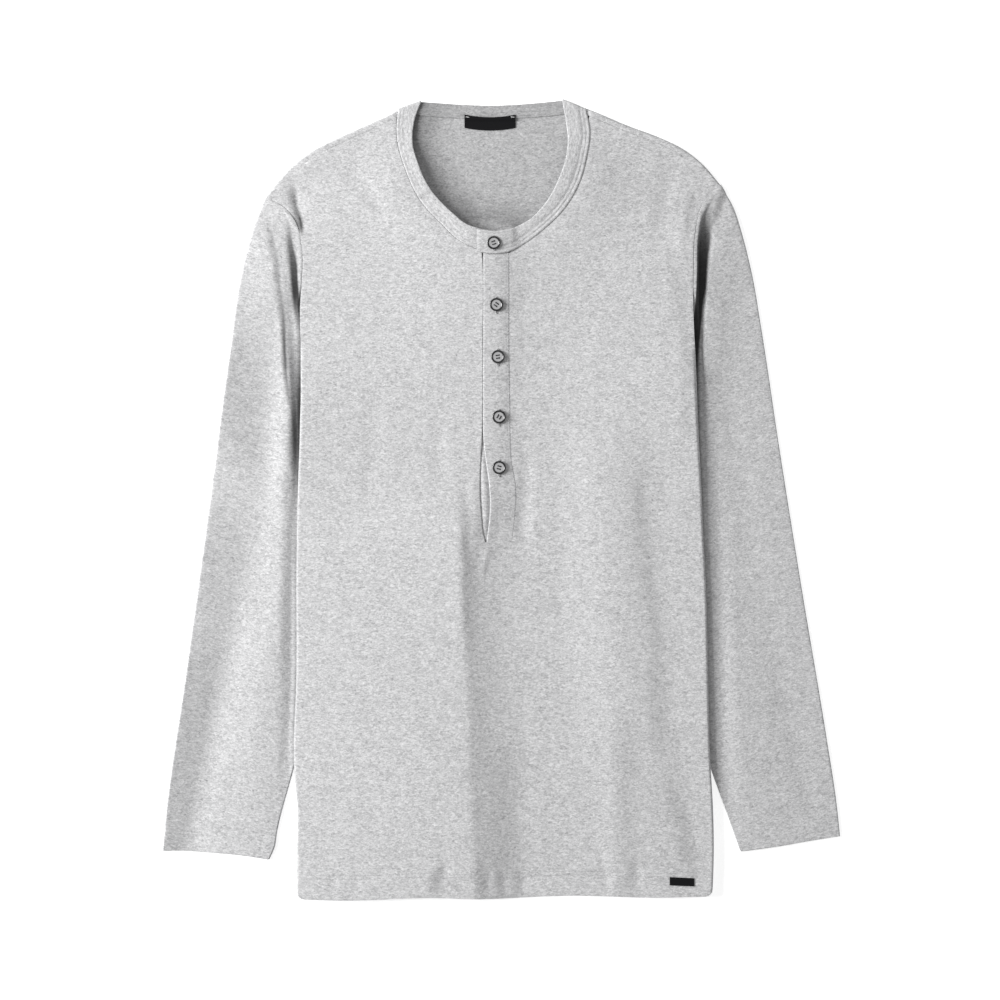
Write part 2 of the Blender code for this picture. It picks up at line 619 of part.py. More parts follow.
def sleeve_top(side, plan, s, t):
    """Middle of the upper layer's wall."""
    x, y = plan[..., 0], plan[..., 1]
    roll_radius = track(OUTER_ROLL, t, 1)
    base = ON_FLOOR + 2 * mix(roll_radius, INNER_ROLL, s)
    beyond = -inside_edge(side, x, y)
    puff = track(SLEEVE_PUFF, t, 1) * np.sin(math.pi * s)
    for place, width, rise, start, end in SLEEVE_FOLDS[side]:
        profile = np.clip(1 - ((s - place) / width)**2, 0.0, 1.0)**2
        fade = smooth((t - start) / SLEEVE_FADE + 0.5) * smooth((end - t) / SLEEVE_FADE + 0.5)
        puff = puff + rise * profile * fade
    height = base + puff * smooth(beyond / TUCK_EASE)
    width, rise, floor = (track(HOLLOW[side], y, k) for k in (1, 2, 3))
    seam_height = ON_FLOOR + track(EDGE[side], y, 2)
    lip = mix(floor, seam_height, smooth((y - LIP_FROM) / LIP_EASE))
    height = mix(floor, height, smooth((beyond - HOLLOW_LIP - width) / rise))
    height = mix(lip, height, smooth((beyond - HOLLOW_LIP) / HOLLOW_WALL))
    tucked = np.minimum(height, mix(floor, height, smooth(beyond / TUCK_LIP)))
    return np.where(y > TUCK_BELOW, height, tucked)


def sleeve(side, name):
    """A sleeve: a tube pressed flat, lower layer on the floor, from armhole to cuff."""
    t = np.array(SLEEVE_ROWS)
    mirror = np.array([side, 1.0])
    outer = path(SLEEVE_OUTER[side], t) * mirror
    inner = path(SLEEVE_INNER[side], t) * mirror
    out_normal = normals_of(outer) * side
    in_normal = normals_of(inner) * -side
    radius = track(OUTER_ROLL, t, 1)
    outer = outer - out_normal * (radius + WALL / 2)[:, None]
    inner = inner - in_normal * (INNER_ROLL + WALL / 2)
    armhole = armhole_line(side) + np.array([side * ARMHOLE_GAP, 0.0])
    armhole[0], armhole[-1] = outer[0], inner[0]
    cuff_line = path(CUFF[side], np.linspace(0, 1, EDGE_STEPS)) * mirror
    cuff_line[0], cuff_line[-1] = outer[-1], inner[-1]

    def layer(points):
        """Plan of one layer, whose lines down the sleeve start from these points of the armhole."""
        s = np.array(ARMHOLE)[points]
        plan = coons(armhole[points], resampled(cuff_line, s), outer, inner, s, t)
        return plan, np.broadcast_to(s, plan.shape[:2]), np.broadcast_to(t[:, None], plan.shape[:2])

    upper_plan, s, rows = layer(list(range(len(ARMHOLE))))
    upper = np.dstack((upper_plan, sleeve_top(side, upper_plan, s, rows)))
    lower_plan, _, _ = layer(ARMHOLE_BELOW)
    lower = np.dstack((lower_plan, np.full(lower_plan.shape[:2], ON_FLOOR)))

    def fold(start, end, normal):
        """Points of the turned edge between a start and an end point above each other."""
        steps = []
        for k in range(1, ROLL_STEPS):
            angle = math.pi * k / ROLL_STEPS
            share = (1 - math.cos(angle)) / 2
            reach = (np.abs(end[:, 2] - start[:, 2]) / 2 * math.sin(angle))[:, None]
            middle = mix(start, end, share)
            middle[:, :2] += normal * reach
            steps.append(middle)
        return np.stack(steps, axis=1)

    ring = np.concatenate((upper, fold(upper[:, -1], lower[:, -1], in_normal),
                           lower[:, ::-1], fold(lower[:, 0], upper[:, 0], out_normal)), axis=1)
    if side == LEFT:
        ring = ring[:, ::-1]
    return wall(name, Sheet().grid(ring, closed=True), WALL, GREY_JERSEY)


# ---------------------------------------------------------------- neckband and placket

def band_front(side):
    """Seam and free edge of the band on the front, from its placket end to the shoulder fold."""
    seam_x, seam_y, free_x, free_y = band_stations(side).T
    out = side * seam_x
    near = 1 - smooth((out - BAND_LAP_FROM[side]) / BAND_LAP_EASE)
    height = front_height(seam_x, seam_y) + BAND_PROUD + BAND_LAP[side] * near
    seam = np.column_stack((seam_x, seam_y, height))
    free = np.column_stack((free_x, free_y, height))
    return seam, free


def neckband():
    """The band: a strip from one end at the placket, up and over both shoulders, to the other."""
    seam_r, free_r = band_front(RIGHT)
    seam_l, free_l = band_front(LEFT)
    back = path(BAND_BACK, np.linspace(0, 1, BAND_BACK_STATIONS))
    flat = np.ones(len(back))
    seam_b = np.column_stack((back[:, :2], flat * BAND_BACK_LOW))
    lift = BAND_BACK_LOW + (BAND_BACK_HIGH - BAND_BACK_LOW) * np.sin(np.linspace(0, math.pi, len(back)))
    free_b = np.column_stack((back[:, 2:], lift))

    def turn(seam_from, free_from, seam_to, free_to):
        """Stations round a shoulder fold between the front and the back of the band."""
        along = free_from[:2] - seam_from[:2]
        out = np.array([-along[1], along[0]]) / np.linalg.norm(along)
        out = out if out[1] > 0 else -out
        seams, frees = [], []
        for k in range(1, ROLL_STEPS + 1):
            angle = math.pi * k / (ROLL_STEPS + 1)
            share = (1 - math.cos(angle)) / 2
            for start, end, into in ((seam_from, seam_to, seams), (free_from, free_to, frees)):
                point = mix(start, end, share)
                point[:2] += out * abs(end[2] - start[2]) / 2 * math.sin(angle)
                into.append(point)
        return np.array(seams), np.array(frees)

    turn_r = turn(seam_r[-1], free_r[-1], seam_b[0], free_b[0])
    turn_l = turn(seam_b[-1], free_b[-1], seam_l[-1], free_l[-1])
    seam = np.concatenate((seam_r, turn_r[0], seam_b, turn_l[0], seam_l[::-1]))
    free = np.concatenate((free_r, turn_r[1], free_b, turn_l[1], free_l[::-1]))
    share = np.linspace(0, 1, BAND_ACROSS + 1)[:, None, None]
    grid = mix(seam[None], free[None], share)
    return wall("neckband", Sheet().grid(grid.transpose(1, 0, 2)[::-1]), STRIP, GREY_JERSEY)


def placket(name, left_x, right_x, ys, rise):
    """A placket strip: it follows the front's form, above or below it."""
    share = np.linspace(0, 1, PLACKET_ACROSS + 1)
    x = mix(left_x[:, None], right_x[:, None], share)
    y = np.broadcast_to(ys[:, None], x.shape)
    points = np.dstack((x, y, front_height(x, y) + rise))
    return wall(name, Sheet().grid(points), STRIP, GREY_JERSEY)


def plackets():
    """The two strips: the upper one laps over the lower one."""
    ys = slot_ys()
    ys[-1] += SEAM_GAP
    placket("placket_top", track(PLACKET, ys, 1), track(PLACKET, ys, 2), ys, TOP_RISE)
    ys = np.append(slot_ys(), UNDER_END)
    flat = np.ones(len(ys))
    placket("placket_under", flat * UNDER_LEFT, flat * UNDER_RIGHT, ys, -UNDER_DROP)


# ---------------------------------------------------------------- buttons and labels

def button(number, x, y, turn):
    """A round button with a raised rim, a shallow dish and four holes."""
    name = f"button_{number}"
    if number == 1:
        seam, _ = band_front(LEFT)
        surface = seam[np.abs(seam[:, 0] - x) < BUTTON_RADIUS * 2, 2].max()
    else:
        spots = y + np.linspace(-BUTTON_RADIUS, BUTTON_RADIUS, 5)
        surface = front_height(np.full(5, x - BUTTON_RADIUS), spots).max() + TOP_RISE
    base = surface + STRIP / 2 + SEAM_GAP
    points = [(0.0, 0.0, BUTTON_RINGS[0][1]), (0.0, 0.0, BUTTON_RINGS[-1][1] * BUTTON_THICK)]
    for radius, height in BUTTON_RINGS:
        for k in range(BUTTON_SIDES):
            angle = 2 * math.pi * k / BUTTON_SIDES
            points.append((radius * BUTTON_RADIUS * math.cos(angle),
                           radius * BUTTON_RADIUS * math.sin(angle), height * BUTTON_THICK))
    faces = []
    for k in range(BUTTON_SIDES):
        after = (k + 1) % BUTTON_SIDES
        faces.append((0, 2 + after, 2 + k))
        for ring in range(len(BUTTON_RINGS) - 1):
            low, high = 2 + ring * BUTTON_SIDES, 2 + (ring + 1) * BUTTON_SIDES
            faces.append((low + k, low + after, high + after, high + k))
        last = 2 + (len(BUTTON_RINGS) - 1) * BUTTON_SIDES
        faces.append((last + k, last + after, 1))
    made = add_object(name, np.array(points), faces, BUTTON_FINISH)
    for sign_x in (-1, 1):
        for sign_y in (-1, 1):
            drill_hole(made, sign_x * BUTTON_HOLE_PITCH, sign_y * BUTTON_HOLE_PITCH)
    made.location = (x * MM, y * MM, base * MM)
    made.rotation_euler = (0.0, 0.0, math.radians(turn))
    return made


def drill_hole(made, x, y):
    """Cut one hole through a button, with a cutter that rides on it."""
    bpy.ops.mesh.primitive_cylinder_add(vertices=BUTTON_HOLE_SIDES, radius=BUTTON_HOLE * MM,
                                        depth=4 * BUTTON_THICK * MM, location=(x * MM, y * MM, 0.0))
    cutter = bpy.context.object
    cutter.name = "hole_cutter"
    cutter.parent = made
    cutter.hide_render = True
    cutter.display_type = "WIRE"
    cut = made.modifiers.new("hole", "BOOLEAN")
    cut.object = cutter


def label(name, limits, height):
    """A small woven label that lies on the cloth."""
    x0, x1, y0, y1 = limits
    x, y = np.meshgrid(np.linspace(x0, x1, LABEL_COLUMNS), np.linspace(y1, y0, LABEL_ROWS))
    points = np.dstack((x, y, height(x, y) + WALL / 2 + SEAM_GAP + LABEL_THICK / 2))
    return wall(name, Sheet().grid(points), LABEL_THICK, LABEL_FINISH)


def main():
    for old in list(bpy.data.objects):
        bpy.data.objects.remove(old, do_unlink=True)
    back_panel()
    sleeve(RIGHT, "sleeve_right")
    sleeve(LEFT, "sleeve_left")
    front_panel()
    neckband()
    plackets()
    for number, (x, y, turn) in enumerate(BUTTONS, start=1):
        button(number, x, y, turn)
    label("neck_label", NECK_LABEL, back_height)
    label("hem_label", HEM_LABEL, front_height)


main()
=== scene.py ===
"""The dressed henley shirt: fine cloth, seams, stitching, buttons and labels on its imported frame.

Everything is in metres in the frame's own coordinates. Tables are in millimetres, counted from
a point near the middle of the shirt, with the columns named above them. A table for one side
of the shirt counts "out" from the middle line towards that side.
"""

import math

import bpy
import numpy as np
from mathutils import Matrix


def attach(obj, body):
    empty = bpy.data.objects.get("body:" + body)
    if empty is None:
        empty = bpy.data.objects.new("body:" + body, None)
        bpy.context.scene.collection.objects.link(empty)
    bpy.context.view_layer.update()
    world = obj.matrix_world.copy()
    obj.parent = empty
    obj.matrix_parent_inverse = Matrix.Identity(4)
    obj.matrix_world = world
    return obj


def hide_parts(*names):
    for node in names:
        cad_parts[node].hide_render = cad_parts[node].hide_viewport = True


bl_info = {
    "name": "Henley shirt",
    "version": (1, 0, 0),
    "blender": (4, 5, 0),
    "location": "3D View > Sidebar > Henley",
    "description": "Builds a long-sleeved henley shirt, laid flat, piece by piece",
    "category": "Add Mesh",
}

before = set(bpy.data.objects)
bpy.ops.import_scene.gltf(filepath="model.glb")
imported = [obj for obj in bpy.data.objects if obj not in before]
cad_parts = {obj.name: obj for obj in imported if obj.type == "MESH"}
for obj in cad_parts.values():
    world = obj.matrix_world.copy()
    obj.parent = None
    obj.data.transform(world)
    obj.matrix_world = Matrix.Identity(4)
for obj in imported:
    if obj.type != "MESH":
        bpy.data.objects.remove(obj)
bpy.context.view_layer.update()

MM = 0.001
RIGHT, LEFT = -1, 1     # the wearer's right and left, as the sign of X
CENTRE = (-0.6, -1.0)   # middle of the shirt's outline, which is put at the origin

# ---- Cloth ----
WALL = 1.2          # thickness of one layer of jersey
STRIP = 1.6         # thickness of a band or strip, which is folded double
SEAM_GAP = 0.3      # space between two pieces at a seam
CLOSE_GAP = 0.12    # the same round the neck and the placket, where the seams are close
AIR = 2.6           # from the middle of the back's wall to the middle of the front's
LEAST_AIR = 0.8     # share of it that is left everywhere
PUFF = 2.0          # how much further the front stands off away from its edges
EDGE_EASE = {RIGHT: 165.0, LEFT: 150.0}     # width over which the front runs to its edges
HEM_PUFF = 0.4      # share of the puff that is left at the hem
HEM_PUFF_FROM, HEM_PUFF_EASE = -380.0, 70.0
ON_FLOOR = WALL / 2
RIM_ROUND, RIM_THIN = 0.8, 0.6      # width over which an edge thins to its rim, share left there
BAND_ROUND, STRIP_ROUND, STRIP_THIN = 1.1, 0.9, 0.45    # the same for the band and the strips
BARELY = 0.01       # lift below which cloth counts as lying on the floor
UP = (0.0, 0.0, 1.0)

# ---- Seams: how far cloth sinks beside them, and the width over which it does ----
SINK_WIDTH = 1.6
NECK_SINK = {RIGHT: 0.08, LEFT: 0.25}
SHOULDER_SINK, ARMHOLE_SINK, PLACKET_SINK = 0.08, 0.2, 0.08
SLEEVE_SINK_WIDTH = 1.2
STRIP_SINK, STRIP_SINK_WIDTH, STRIP_SINK_IN = 0.15, 0.8, 1.5    # this far in from its right edge

# ---- Body outline: y, out, gap (from back to front at that edge) ----
EDGE = {
    RIGHT: [
        (-378, 193.8, 3.4), (-331, 193.8, 3.4), (-291, 193.4, 3.4), (-262, 196.0, 3.6),
        (-238, 196.6, 3.6), (-171, 194.4, 3.6), (-66, 194.2, 3.6), (18, 192.6, 3.8),
        (56, 191.2, 4.0), (75, 190.8, 4.0), (95, 190.2, 4.1), (123, 190.3, 4.3),
        (142, 190.7, 4.6), (162, 191.7, 4.8), (185, 191.6, 4.9), (203, 190.4, 4.9),
        (235, 189.6, 4.8), (246, 191.0, 4.6), (256, 193.2, 4.3), (269, 199.6, 4.0),
        (279, 209.6, 3.7), (286, 223.0, 3.4),
    ],
    LEFT: [
        (-378, 198.8, 3.4), (-331, 200.2, 3.4), (-291, 199.3, 3.4), (-245, 196.7, 3.6),
        (-171, 194.8, 3.6), (-78, 192.5, 3.6), (-30, 190.0, 3.8), (18, 188.1, 4.4),
        (56, 186.0, 5.0), (105, 184.0, 6.4), (145, 182.6, 9.0), (189, 181.0, 9.8),
        (217, 181.0, 9.8), (253, 182.8, 8.6), (273, 187.2, 6.6), (286, 194.6, 4.8),
        (298, 205.0, 3.4),
    ],
}
UNDERARM = 104.0        # y at which the side seam ends and the armhole begins
ARMHOLE_EASE = 52.0     # length over which the rolled side opens into the armhole
ARMHOLE_GAP = 0.3       # space between the body and a sleeve in plan
ARMHOLE_FOOT = 57.0     # y at which the sleeve's underarm seam begins
HEM = [(-194, -379.0), (-150, -379.8), (-58, -377.4), (-25, -378.6), (62, -376.0),
       (150, -377.2), (199, -376.0)]
HEM_CORNER = 6.0        # radius of the hem's corners

# ---- Shoulders: x, y of the fold from the armhole's tip to the neck ----
SHOULDER = {
    RIGHT: [(-221.2, 287.8), (-201.4, 311.5), (-187.0, 323.8), (-153.0, 342.2),
            (-125.4, 354.5), (-101.4, 366.0)],
    LEFT: [(205.0, 298.0), (187.2, 318.4), (171.5, 330.4), (147.3, 342.2),
           (118.3, 353.0), (84.6, 367.2)],
}
SHOULDER_END = {RIGHT: (-98.6, 367.9), LEFT: (80.2, 368.9)}     # its end beneath the neckband
SHOULDER_TIP = {RIGHT: (-223.2, 285.2), LEFT: (206.6, 296.0)}   # its end beneath the sleeve
SHOULDER_DIP, SHOULDER_DIP_EASE = 0.9, 3.4      # how far it dips to pass beneath the band
SHOULDER_RADIUS = 1.6
SHOULDER_LAP = 3.6      # how far in from the fold the shoulder seam lies
SHOULDER_GAP = 0.22     # space between the back and the front at that seam
# the back's last rows before the seam: distance in from the fold, height above its top
SHOULDER_ROWS = [(1.2, 0.0), (2.4, 0.0), (SHOULDER_LAP - 0.4, -0.04), (SHOULDER_LAP, -0.08)]
SHOULDER_RINGS = 11     # points round the fold
SHOULDER_LENGTH = 130.0
SHOULDER_EASE = 62.0    # width over which the front comes down to the shoulder seam
SHOULDER_TOP = ON_FLOOR + 2 * SHOULDER_RADIUS

# ---- Neckband: seam x, y and free edge x, y, from the placket up to the shoulder fold ----
BAND = {
    RIGHT: [
        (3.0, 232.5, 3.0, 254.0), (-12.0, 233.5, -11.0, 254.5), (-26.0, 238.0, -22.5, 257.0),
        (-40.9, 245.6, -33.2, 260.6), (-57.0, 260.8, -46.6, 271.2), (-77.0, 282.6, -65.2, 290.6),
        (-91.7, 313.0, -78.4, 315.6), (-99.8, 344.4, -84.8, 346.6), (-100.0, 357.0, -82.4, 362.2),
        (-98.2, 369.2, -76.6, 377.5),
    ],
    LEFT: [
        (-24.0, 234.6, -24.0, 256.0), (-8.0, 232.6, -7.0, 254.2), (8.0, 235.0, 8.0, 256.2),
        (19.0, 240.8, 14.0, 258.6), (40.9, 257.0, 29.5, 268.0), (58.9, 275.0, 43.4, 284.2),
        (72.2, 296.9, 53.7, 303.8), (80.8, 325.9, 61.2, 328.2), (83.6, 351.0, 61.8, 350.0),
        (80.2, 368.6, 57.0, 378.9),
    ],
}
BAND_BACK = [
    (-98.2, 369.2, -76.6, 377.5), (-70.0, 363.9, -60.0, 376.4), (-35.0, 361.9, -35.0, 374.7),
    (-9.5, 361.6, -9.5, 374.0), (12.0, 361.9, 10.0, 374.7), (46.0, 364.0, 38.0, 376.9),
    (80.2, 368.6, 57.0, 378.9),
]
BAND_PROUD = {RIGHT: -0.2, LEFT: 0.15}      # how far it stands above the front
BAND_DEPTH = {RIGHT: 0.45, LEFT: 1.0}       # how deep its relief is
BAND_BACK_DEPTH, BAND_BACK_SHADE = 0.7, 0.28    # the same at the back, and its shade there
BAND_DEEP = 0.6         # how much of the shade beside it lies on the band itself
BAND_TILT, BAND_TILT_FROM, BAND_TILT_EASE = 0.9, 17.0, 30.0     # how much higher its free edge is
BAND_LAP = {RIGHT: -0.8, LEFT: 0.95}        # how far its lapped ends stand lower or higher
BAND_LAP_FROM = {RIGHT: 22.0, LEFT: 8.0}    # out to here, and the width over which it ends
BAND_LAP_EASE = 10.0
BAND_BACK_LOW, BAND_BACK_HIGH = 1.3, 2.4    # height of the back of the band, at its ends and middle
# how far its seam and its free edge swing out where it turns over a shoulder, as a share of a
# half circle
BAND_SWING = (1.0, 0.5)
BACK_NECK_GAP = 0.04    # how far the back's neck edge is set off from the band's seam
# the neck opening as an ellipse; the front stands up a little round it
NECK_MIDDLE, NECK_HALF = (-8.0, 345.0), (91.0, 111.0)
NECK_RISE, NECK_EASE = 3.0, 40.0
# painted shade inside the neck opening: how much darker the cloth is painted there, to this far
# beyond the ellipse, and the width over which that ends
NECK_SHADE, NECK_SHADE_FROM, NECK_SHADE_EASE = 0.2, 3.0, 6.0
NECK_DEEP, NECK_DEEP_EASE = 0.4, 42.0       # and beside the band to the wearer's right
# close by its raised edge less of it, because the band's own shadow falls there
NECK_LESS, NECK_LESS_EASE, NECK_LESS_TOP, NECK_LESS_FADE = 0.55, 12.0, 356.0, 50.0
# relief across the band: millimetres in from its seam, rise
BAND_RELIEF = [(0.0, -0.1), (1.7, 0.18), (3.4, -0.26), (5.0, 0.1), (6.7, -0.26), (8.6, 0.16),
               (12.5, 0.26), (16.0, 0.2), (22.0, 0.0)]
BAND_STITCHES, BAND_THREAD_PROUD = (3.4, 6.7), 0.06     # in from its seam, above its face

# ---- Placket: y, x of the free edge, x of the seam ----
PLACKET = [(231.2, -17.7, 6.4), (203, -17.7, 6.6), (150, -17.8, 6.6), (95, -17.9, 7.4),
           (52, -17.2, 8.0), (37, -15.4, 8.8), (15, -12.4, 12.6), (0, -11.4, 13.2),
           (-13, -11.6, 12.0), (-40, -14.6, 9.0)]
# the front's folded edge beside it: y, x
SLOT = [(231.2, -18.8), (222, -18.1), (150, -18.15), (84, -18.3), (62, -18.8), (38, -20.1),
        (15, -20.9), (0, -20.6), (-17, -19.4), (-32, -17.9), (-40.4, -16.4)]
SLOT_END, SLOT_TOP = -40.4, 231.2
SLOT_CORNER, SLOT_CORNER_GAP = 3.0, 1.2     # room left at the corner where it meets the neck
SLOT_RIM_END = 4.0      # how far above its lower end the rim stops being thinned
# how far its folded edge sinks, where the slot is closed (there it rises) and where it gapes
SLOT_CURL, SLOT_CURL_WIDTH, SLOT_CURL_EASE = (-0.25, 0.35), 2.8, 6.0
LOWER_LENGTH = 337.0    # from the slot's lower end to the hem
STRIP_BEND = 9.0        # length over which the upper strip's top end follows the neckband's seam
UNDER_LEFT, UNDER_RIGHT, UNDER_END = -28.0, -0.5, -45.0
TOP_RISE = (0.1, -0.2)      # of the upper strip over the front, at its free edge and its seam
TOP_FOOT, TOP_FOOT_EASE = 9.0, 8.0      # above its lower end, where both edges come level
TOP_CURL, TOP_CURL_FROM, TOP_CURL_EASE = 0.5, 50.0, 40.0     # more at its free edge, further down
TOP_CURL_WIDE, TOP_CURL_FOOT = 0.45, 12.0       # share of its width that curls, and its end
TOP_TUCK, TOP_TUCK_EASE = 0.35, 5.0     # how far its top end dips below the neckband
TOP_CLEAR = 0.04        # how far above the slot's lower end it stops
UNDER_DROP = 1.75       # how far the lower strip lies below the front
GAPE_FROM, GAPE_EASE = 62.0, 24.0       # y below which the slot gapes
# the lower strip swells where the slot gapes by more than this, and this far past its edges
UNDER_SWELL, UNDER_SWELL_FROM, UNDER_SWELL_EASE, UNDER_SWELL_PAST = 1.1, 1.5, 5.0, 1.0
SEAM_FADE_FROM, SEAM_FADE_EASE = -10.0, 12.0    # y below which the upper strip's seam runs out
SEAM_FADE_RIM = 2.0     # how much further in its edge counts there, so that it isn't thinned

# ---- Buttons: x, y, turn in degrees; the first is on the neckband ----
BUTTONS = [(-7.8, 242.8, 20), (-5.3, 184.5, -35), (-3.9, 135.2, 10), (-2.8, 78.2, 60),
           (-2.7, 30.2, -15)]
BUTTON_RADIUS = 6.35
# its section: share of the radius, height
BUTTON_SECTION = [(0.0, 0.0), (0.70, 0.0), (0.86, 0.25), (0.97, 0.8), (1.0, 1.35), (0.985, 1.85),
                  (0.94, 2.25), (0.88, 2.4), (0.82, 2.3), (0.77, 2.0), (0.74, 1.75), (0.68, 1.66),
                  (0.5, 1.62), (0.25, 1.6), (0.0, 1.6)]
BUTTON_FLAT = 0.62      # share of those heights that they have
BUTTON_RIM_FROM, BUTTON_RIM_CRISP = 0.68, 14.0      # share of the radius where the dark rim begins
BUTTON_SIDES = 48
BUTTON_HOLE, BUTTON_HOLE_PITCH, BUTTON_HOLE_SIDES = 0.75, 1.35, 16
BUTTON_CUT = 12.0       # length of the cutter for a hole, right through the button
BUTTON_SPOTS = (-5.0, 0.0, 5.0)     # where the cloth beneath is felt, along y
BUTTON_CLEAR, BAND_BUTTON_CLEAR = 0.02, 0.3     # above the strip, and above the band
# the thread in a button: how far its two strands lie from a hole's middle, how far they run past
# the holes, their height above the face, their radius
STRAND_APART, STRAND_PAST, STRAND_PROUD, STRAND_RADIUS = 0.28, 0.45, 0.16, 0.3
STRAND_COLOUR = (0.04, 0.04, 0.042)

# ---- Buttonholes: above and below the button's middle, on the band and on the strip ----
BAND_BUTTONHOLE, STRIP_BUTTONHOLE = (7.0, 7.0), (7.4, 8.6)
BUTTONHOLE_POINTS = 12
BEAD_OUT, BEAD_PROUD, BEAD_RADIUS = 0.6, 0.05, 0.34     # the beads either side of the slit
# the slit is a near-black thread: painted shade standing for the shadow in the cut
SLIT_PROUD, SLIT_RADIUS, SLIT_SHADE_COLOUR = 0.04, 0.26, (0.03, 0.03, 0.03)
BAR_HALF, BAR_PROUD, BAR_RADIUS = 0.9, 0.1, 0.4         # the bar across each end

# ---- Stitching: rows at the hem, above its edge, and from x to x ----
HEM_STITCHES, HEM_STITCH_ENDS, HEM_STITCH_POINTS = (20.0, 23.4), (-186, 190), 300
THREAD_PROUD = 0.05     # middle of a thread above the cloth's face
PLACKET_STITCH_IN = 0.1     # in from the upper strip's seam
# a thread's rings: place along it, share of its radius; and two quads that close its end
THREAD_PLACES = np.array([0.0, 0.12, 0.32, 0.68, 0.88, 1.0])
THREAD_GIRTHS = np.array([0.25, 0.75, 1.0, 1.0, 0.75, 0.25])
THREAD_SIDES, THREAD_END = 6, np.array([[0, 1, 2, 3], [0, 3, 4, 5]])

# ---- Labels: x and y limits ----
NECK_LABEL = (-35.6, 12.8, 350.4, 362.9)
NECK_LABEL_BOW = 2.5
HEM_LABEL = (158.8, 182.0, -365.8, -358.1)
HEM_LABEL_SLOPE = -0.047
LABEL_WALL, LABEL_PROUD = 0.5, 0.45     # its thickness, its middle above the cloth's face
# how far the neck label steps up onto the band, and the y where it does
LABEL_STEP, LABEL_STEP_FROM, LABEL_STEP_EASE = 1.25, 358.6, 2.4
TACKS, TACK_Y = [(-34.6, -31.0), (8.2, 12.0)], (363.2, 362.8)   # x from and to, y at those
TACK_RADIUS, TACK_PROUD, TACK_COLOUR = 0.32, 0.35, (0.75, 0.75, 0.75)

# ---- Large folds of the front: points x, y down the fold; width to the wearer's right and
# ---- left, rise, crispness of its crest, length over which it fades at its ends ----
FRONT_FOLDS = [
    ([(-20.0, 262), (-21.5, -36)], 150, 46, 2.4, 0.0, 60),
    ([(108.0, 66), (113.0, -48), (120.0, -143), (134.0, -238), (150.0, -333), (158.0, -400)],
     62, 46, 3.8, 0.0, 70),
    ([(-37.5, -18), (-37.5, -96), (-36.0, -130)], 80, 17, 1.3, 1.0, 60),
]
# the sharp crease down the middle: y, x; the front stands higher to the wearer's right of it
CREASE = [(-380, -25.5), (-324, -27.0), (-248, -30.5), (-172, -33.0), (-134, -35.5), (-96, -37.5),
          (-30, -37.5), (20, -34.0), (60, -28.0)]
CREASE_STEP, CREASE_FALL = 6.6, 60.0    # its height, width over which the front falls again
CREASE_TOP, CREASE_EASE = 40.0, 100.0   # y at which it begins, length over which it deepens
# ---- Smaller creases, in the same form as the folds ----
FRONT_CREASES = [
    ([(-64.0, -366), (-52.0, -346)], 9, 8, -1.3, 0.0, 14),
    ([(-138.0, -374), (-137.0, -356)], 8, 8, -0.7, 0.0, 14),
    ([(-161.0, -374), (-160.0, -358)], 8, 7, -0.7, 0.0, 14),
    ([(-13.0, -374), (-14.0, -352)], 7, 7, -0.7, 0.0, 14),
    ([(2.0, -374), (1.0, -352)], 7, 7, -0.7, 0.0, 14),
    ([(21.0, -372), (20.0, -354)], 7, 8, -0.7, 0.0, 14),
    ([(98.0, -370), (97.0, -350)], 8, 8, -0.6, 0.0, 14),
    ([(129.0, -368), (127.0, -345)], 9, 9, -0.8, 0.0, 14),
    ([(12.0, -12), (22.0, -20)], 5, 5, -0.9, 0.0, 8),
    ([(12.0, -24), (26.0, -38)], 6, 6, -0.8, 0.0, 10),
    ([(-13.0, -46), (-20.0, -74)], 4, 4, 0.7, 0.3, 12),
    ([(-34.0, 20), (-33.0, -50)], 9, 8, -0.8, 0.0, 26),
    ([(24.0, 40), (20.0, -34)], 9, 9, -0.7, 0.0, 30),
    ([(-144.0, 318), (-112.0, 268)], 14, 12, -0.6, 0.0, 30),
    ([(160.0, 318), (150.0, 250)], 14, 12, -0.7, 0.0, 36),
    ([(176.0, 292), (168.0, 232)], 8, 8, 0.6, 0.0, 30),
    ([(-120.0, 96), (-124.0, 0)], 14, 12, -0.5, 0.0, 40),
    ([(-58.0, 90), (-60.0, 10)], 12, 12, -0.5, 0.0, 40),
    ([(-199.5, 297), (-196.0, 280), (-192.0, 258)], 10, 30, -1.9, 1.0, 16),
]
# soft shade on the front, in the same form as its creases, with a share in place of the rise
FRONT_SHADES = [
    ([(-198.0, 295), (-197.0, 284), (-194.6, 274), (-191.4, 265), (-190.2, 254)], 4.4, 3.8, 0.56,
     0.0, 14),
    ([(-193.0, 271), (-190.9, 264), (-189.9, 252)], 3.0, 2.4, 0.4, 0.0, 10),
    ([(1.0, -240), (3.0, -330), (4.0, -430)], 22, 24, 0.14, 0.0, 60),
    ([(116.0, -215), (118.0, -300), (119.0, -430)], 18, 20, 0.17, 0.0, 50),
    ([(129.2, 28), (133.0, -48), (145.4, -124), (147.0, -200), (150.0, -238)], 13, 13, 0.13, 0.0, 40),
    ([(158.0, -262), (166.0, -290), (174.5, -330), (178.0, -352)], 13, 13, 0.16, 0.0, 30),
    ([(-62.0, -374), (-54.0, -352)], 9, 9, 0.26, 0.0, 12),
    ([(158.0, 232), (170.0, 180), (174.5, 140), (174.5, 60)], 9, 9, 0.13, 0.0, 50),
]
EDGE_SHADE, EDGE_SHADE_EASE = 0.24, 2.6     # and along its edge to the wearer's right

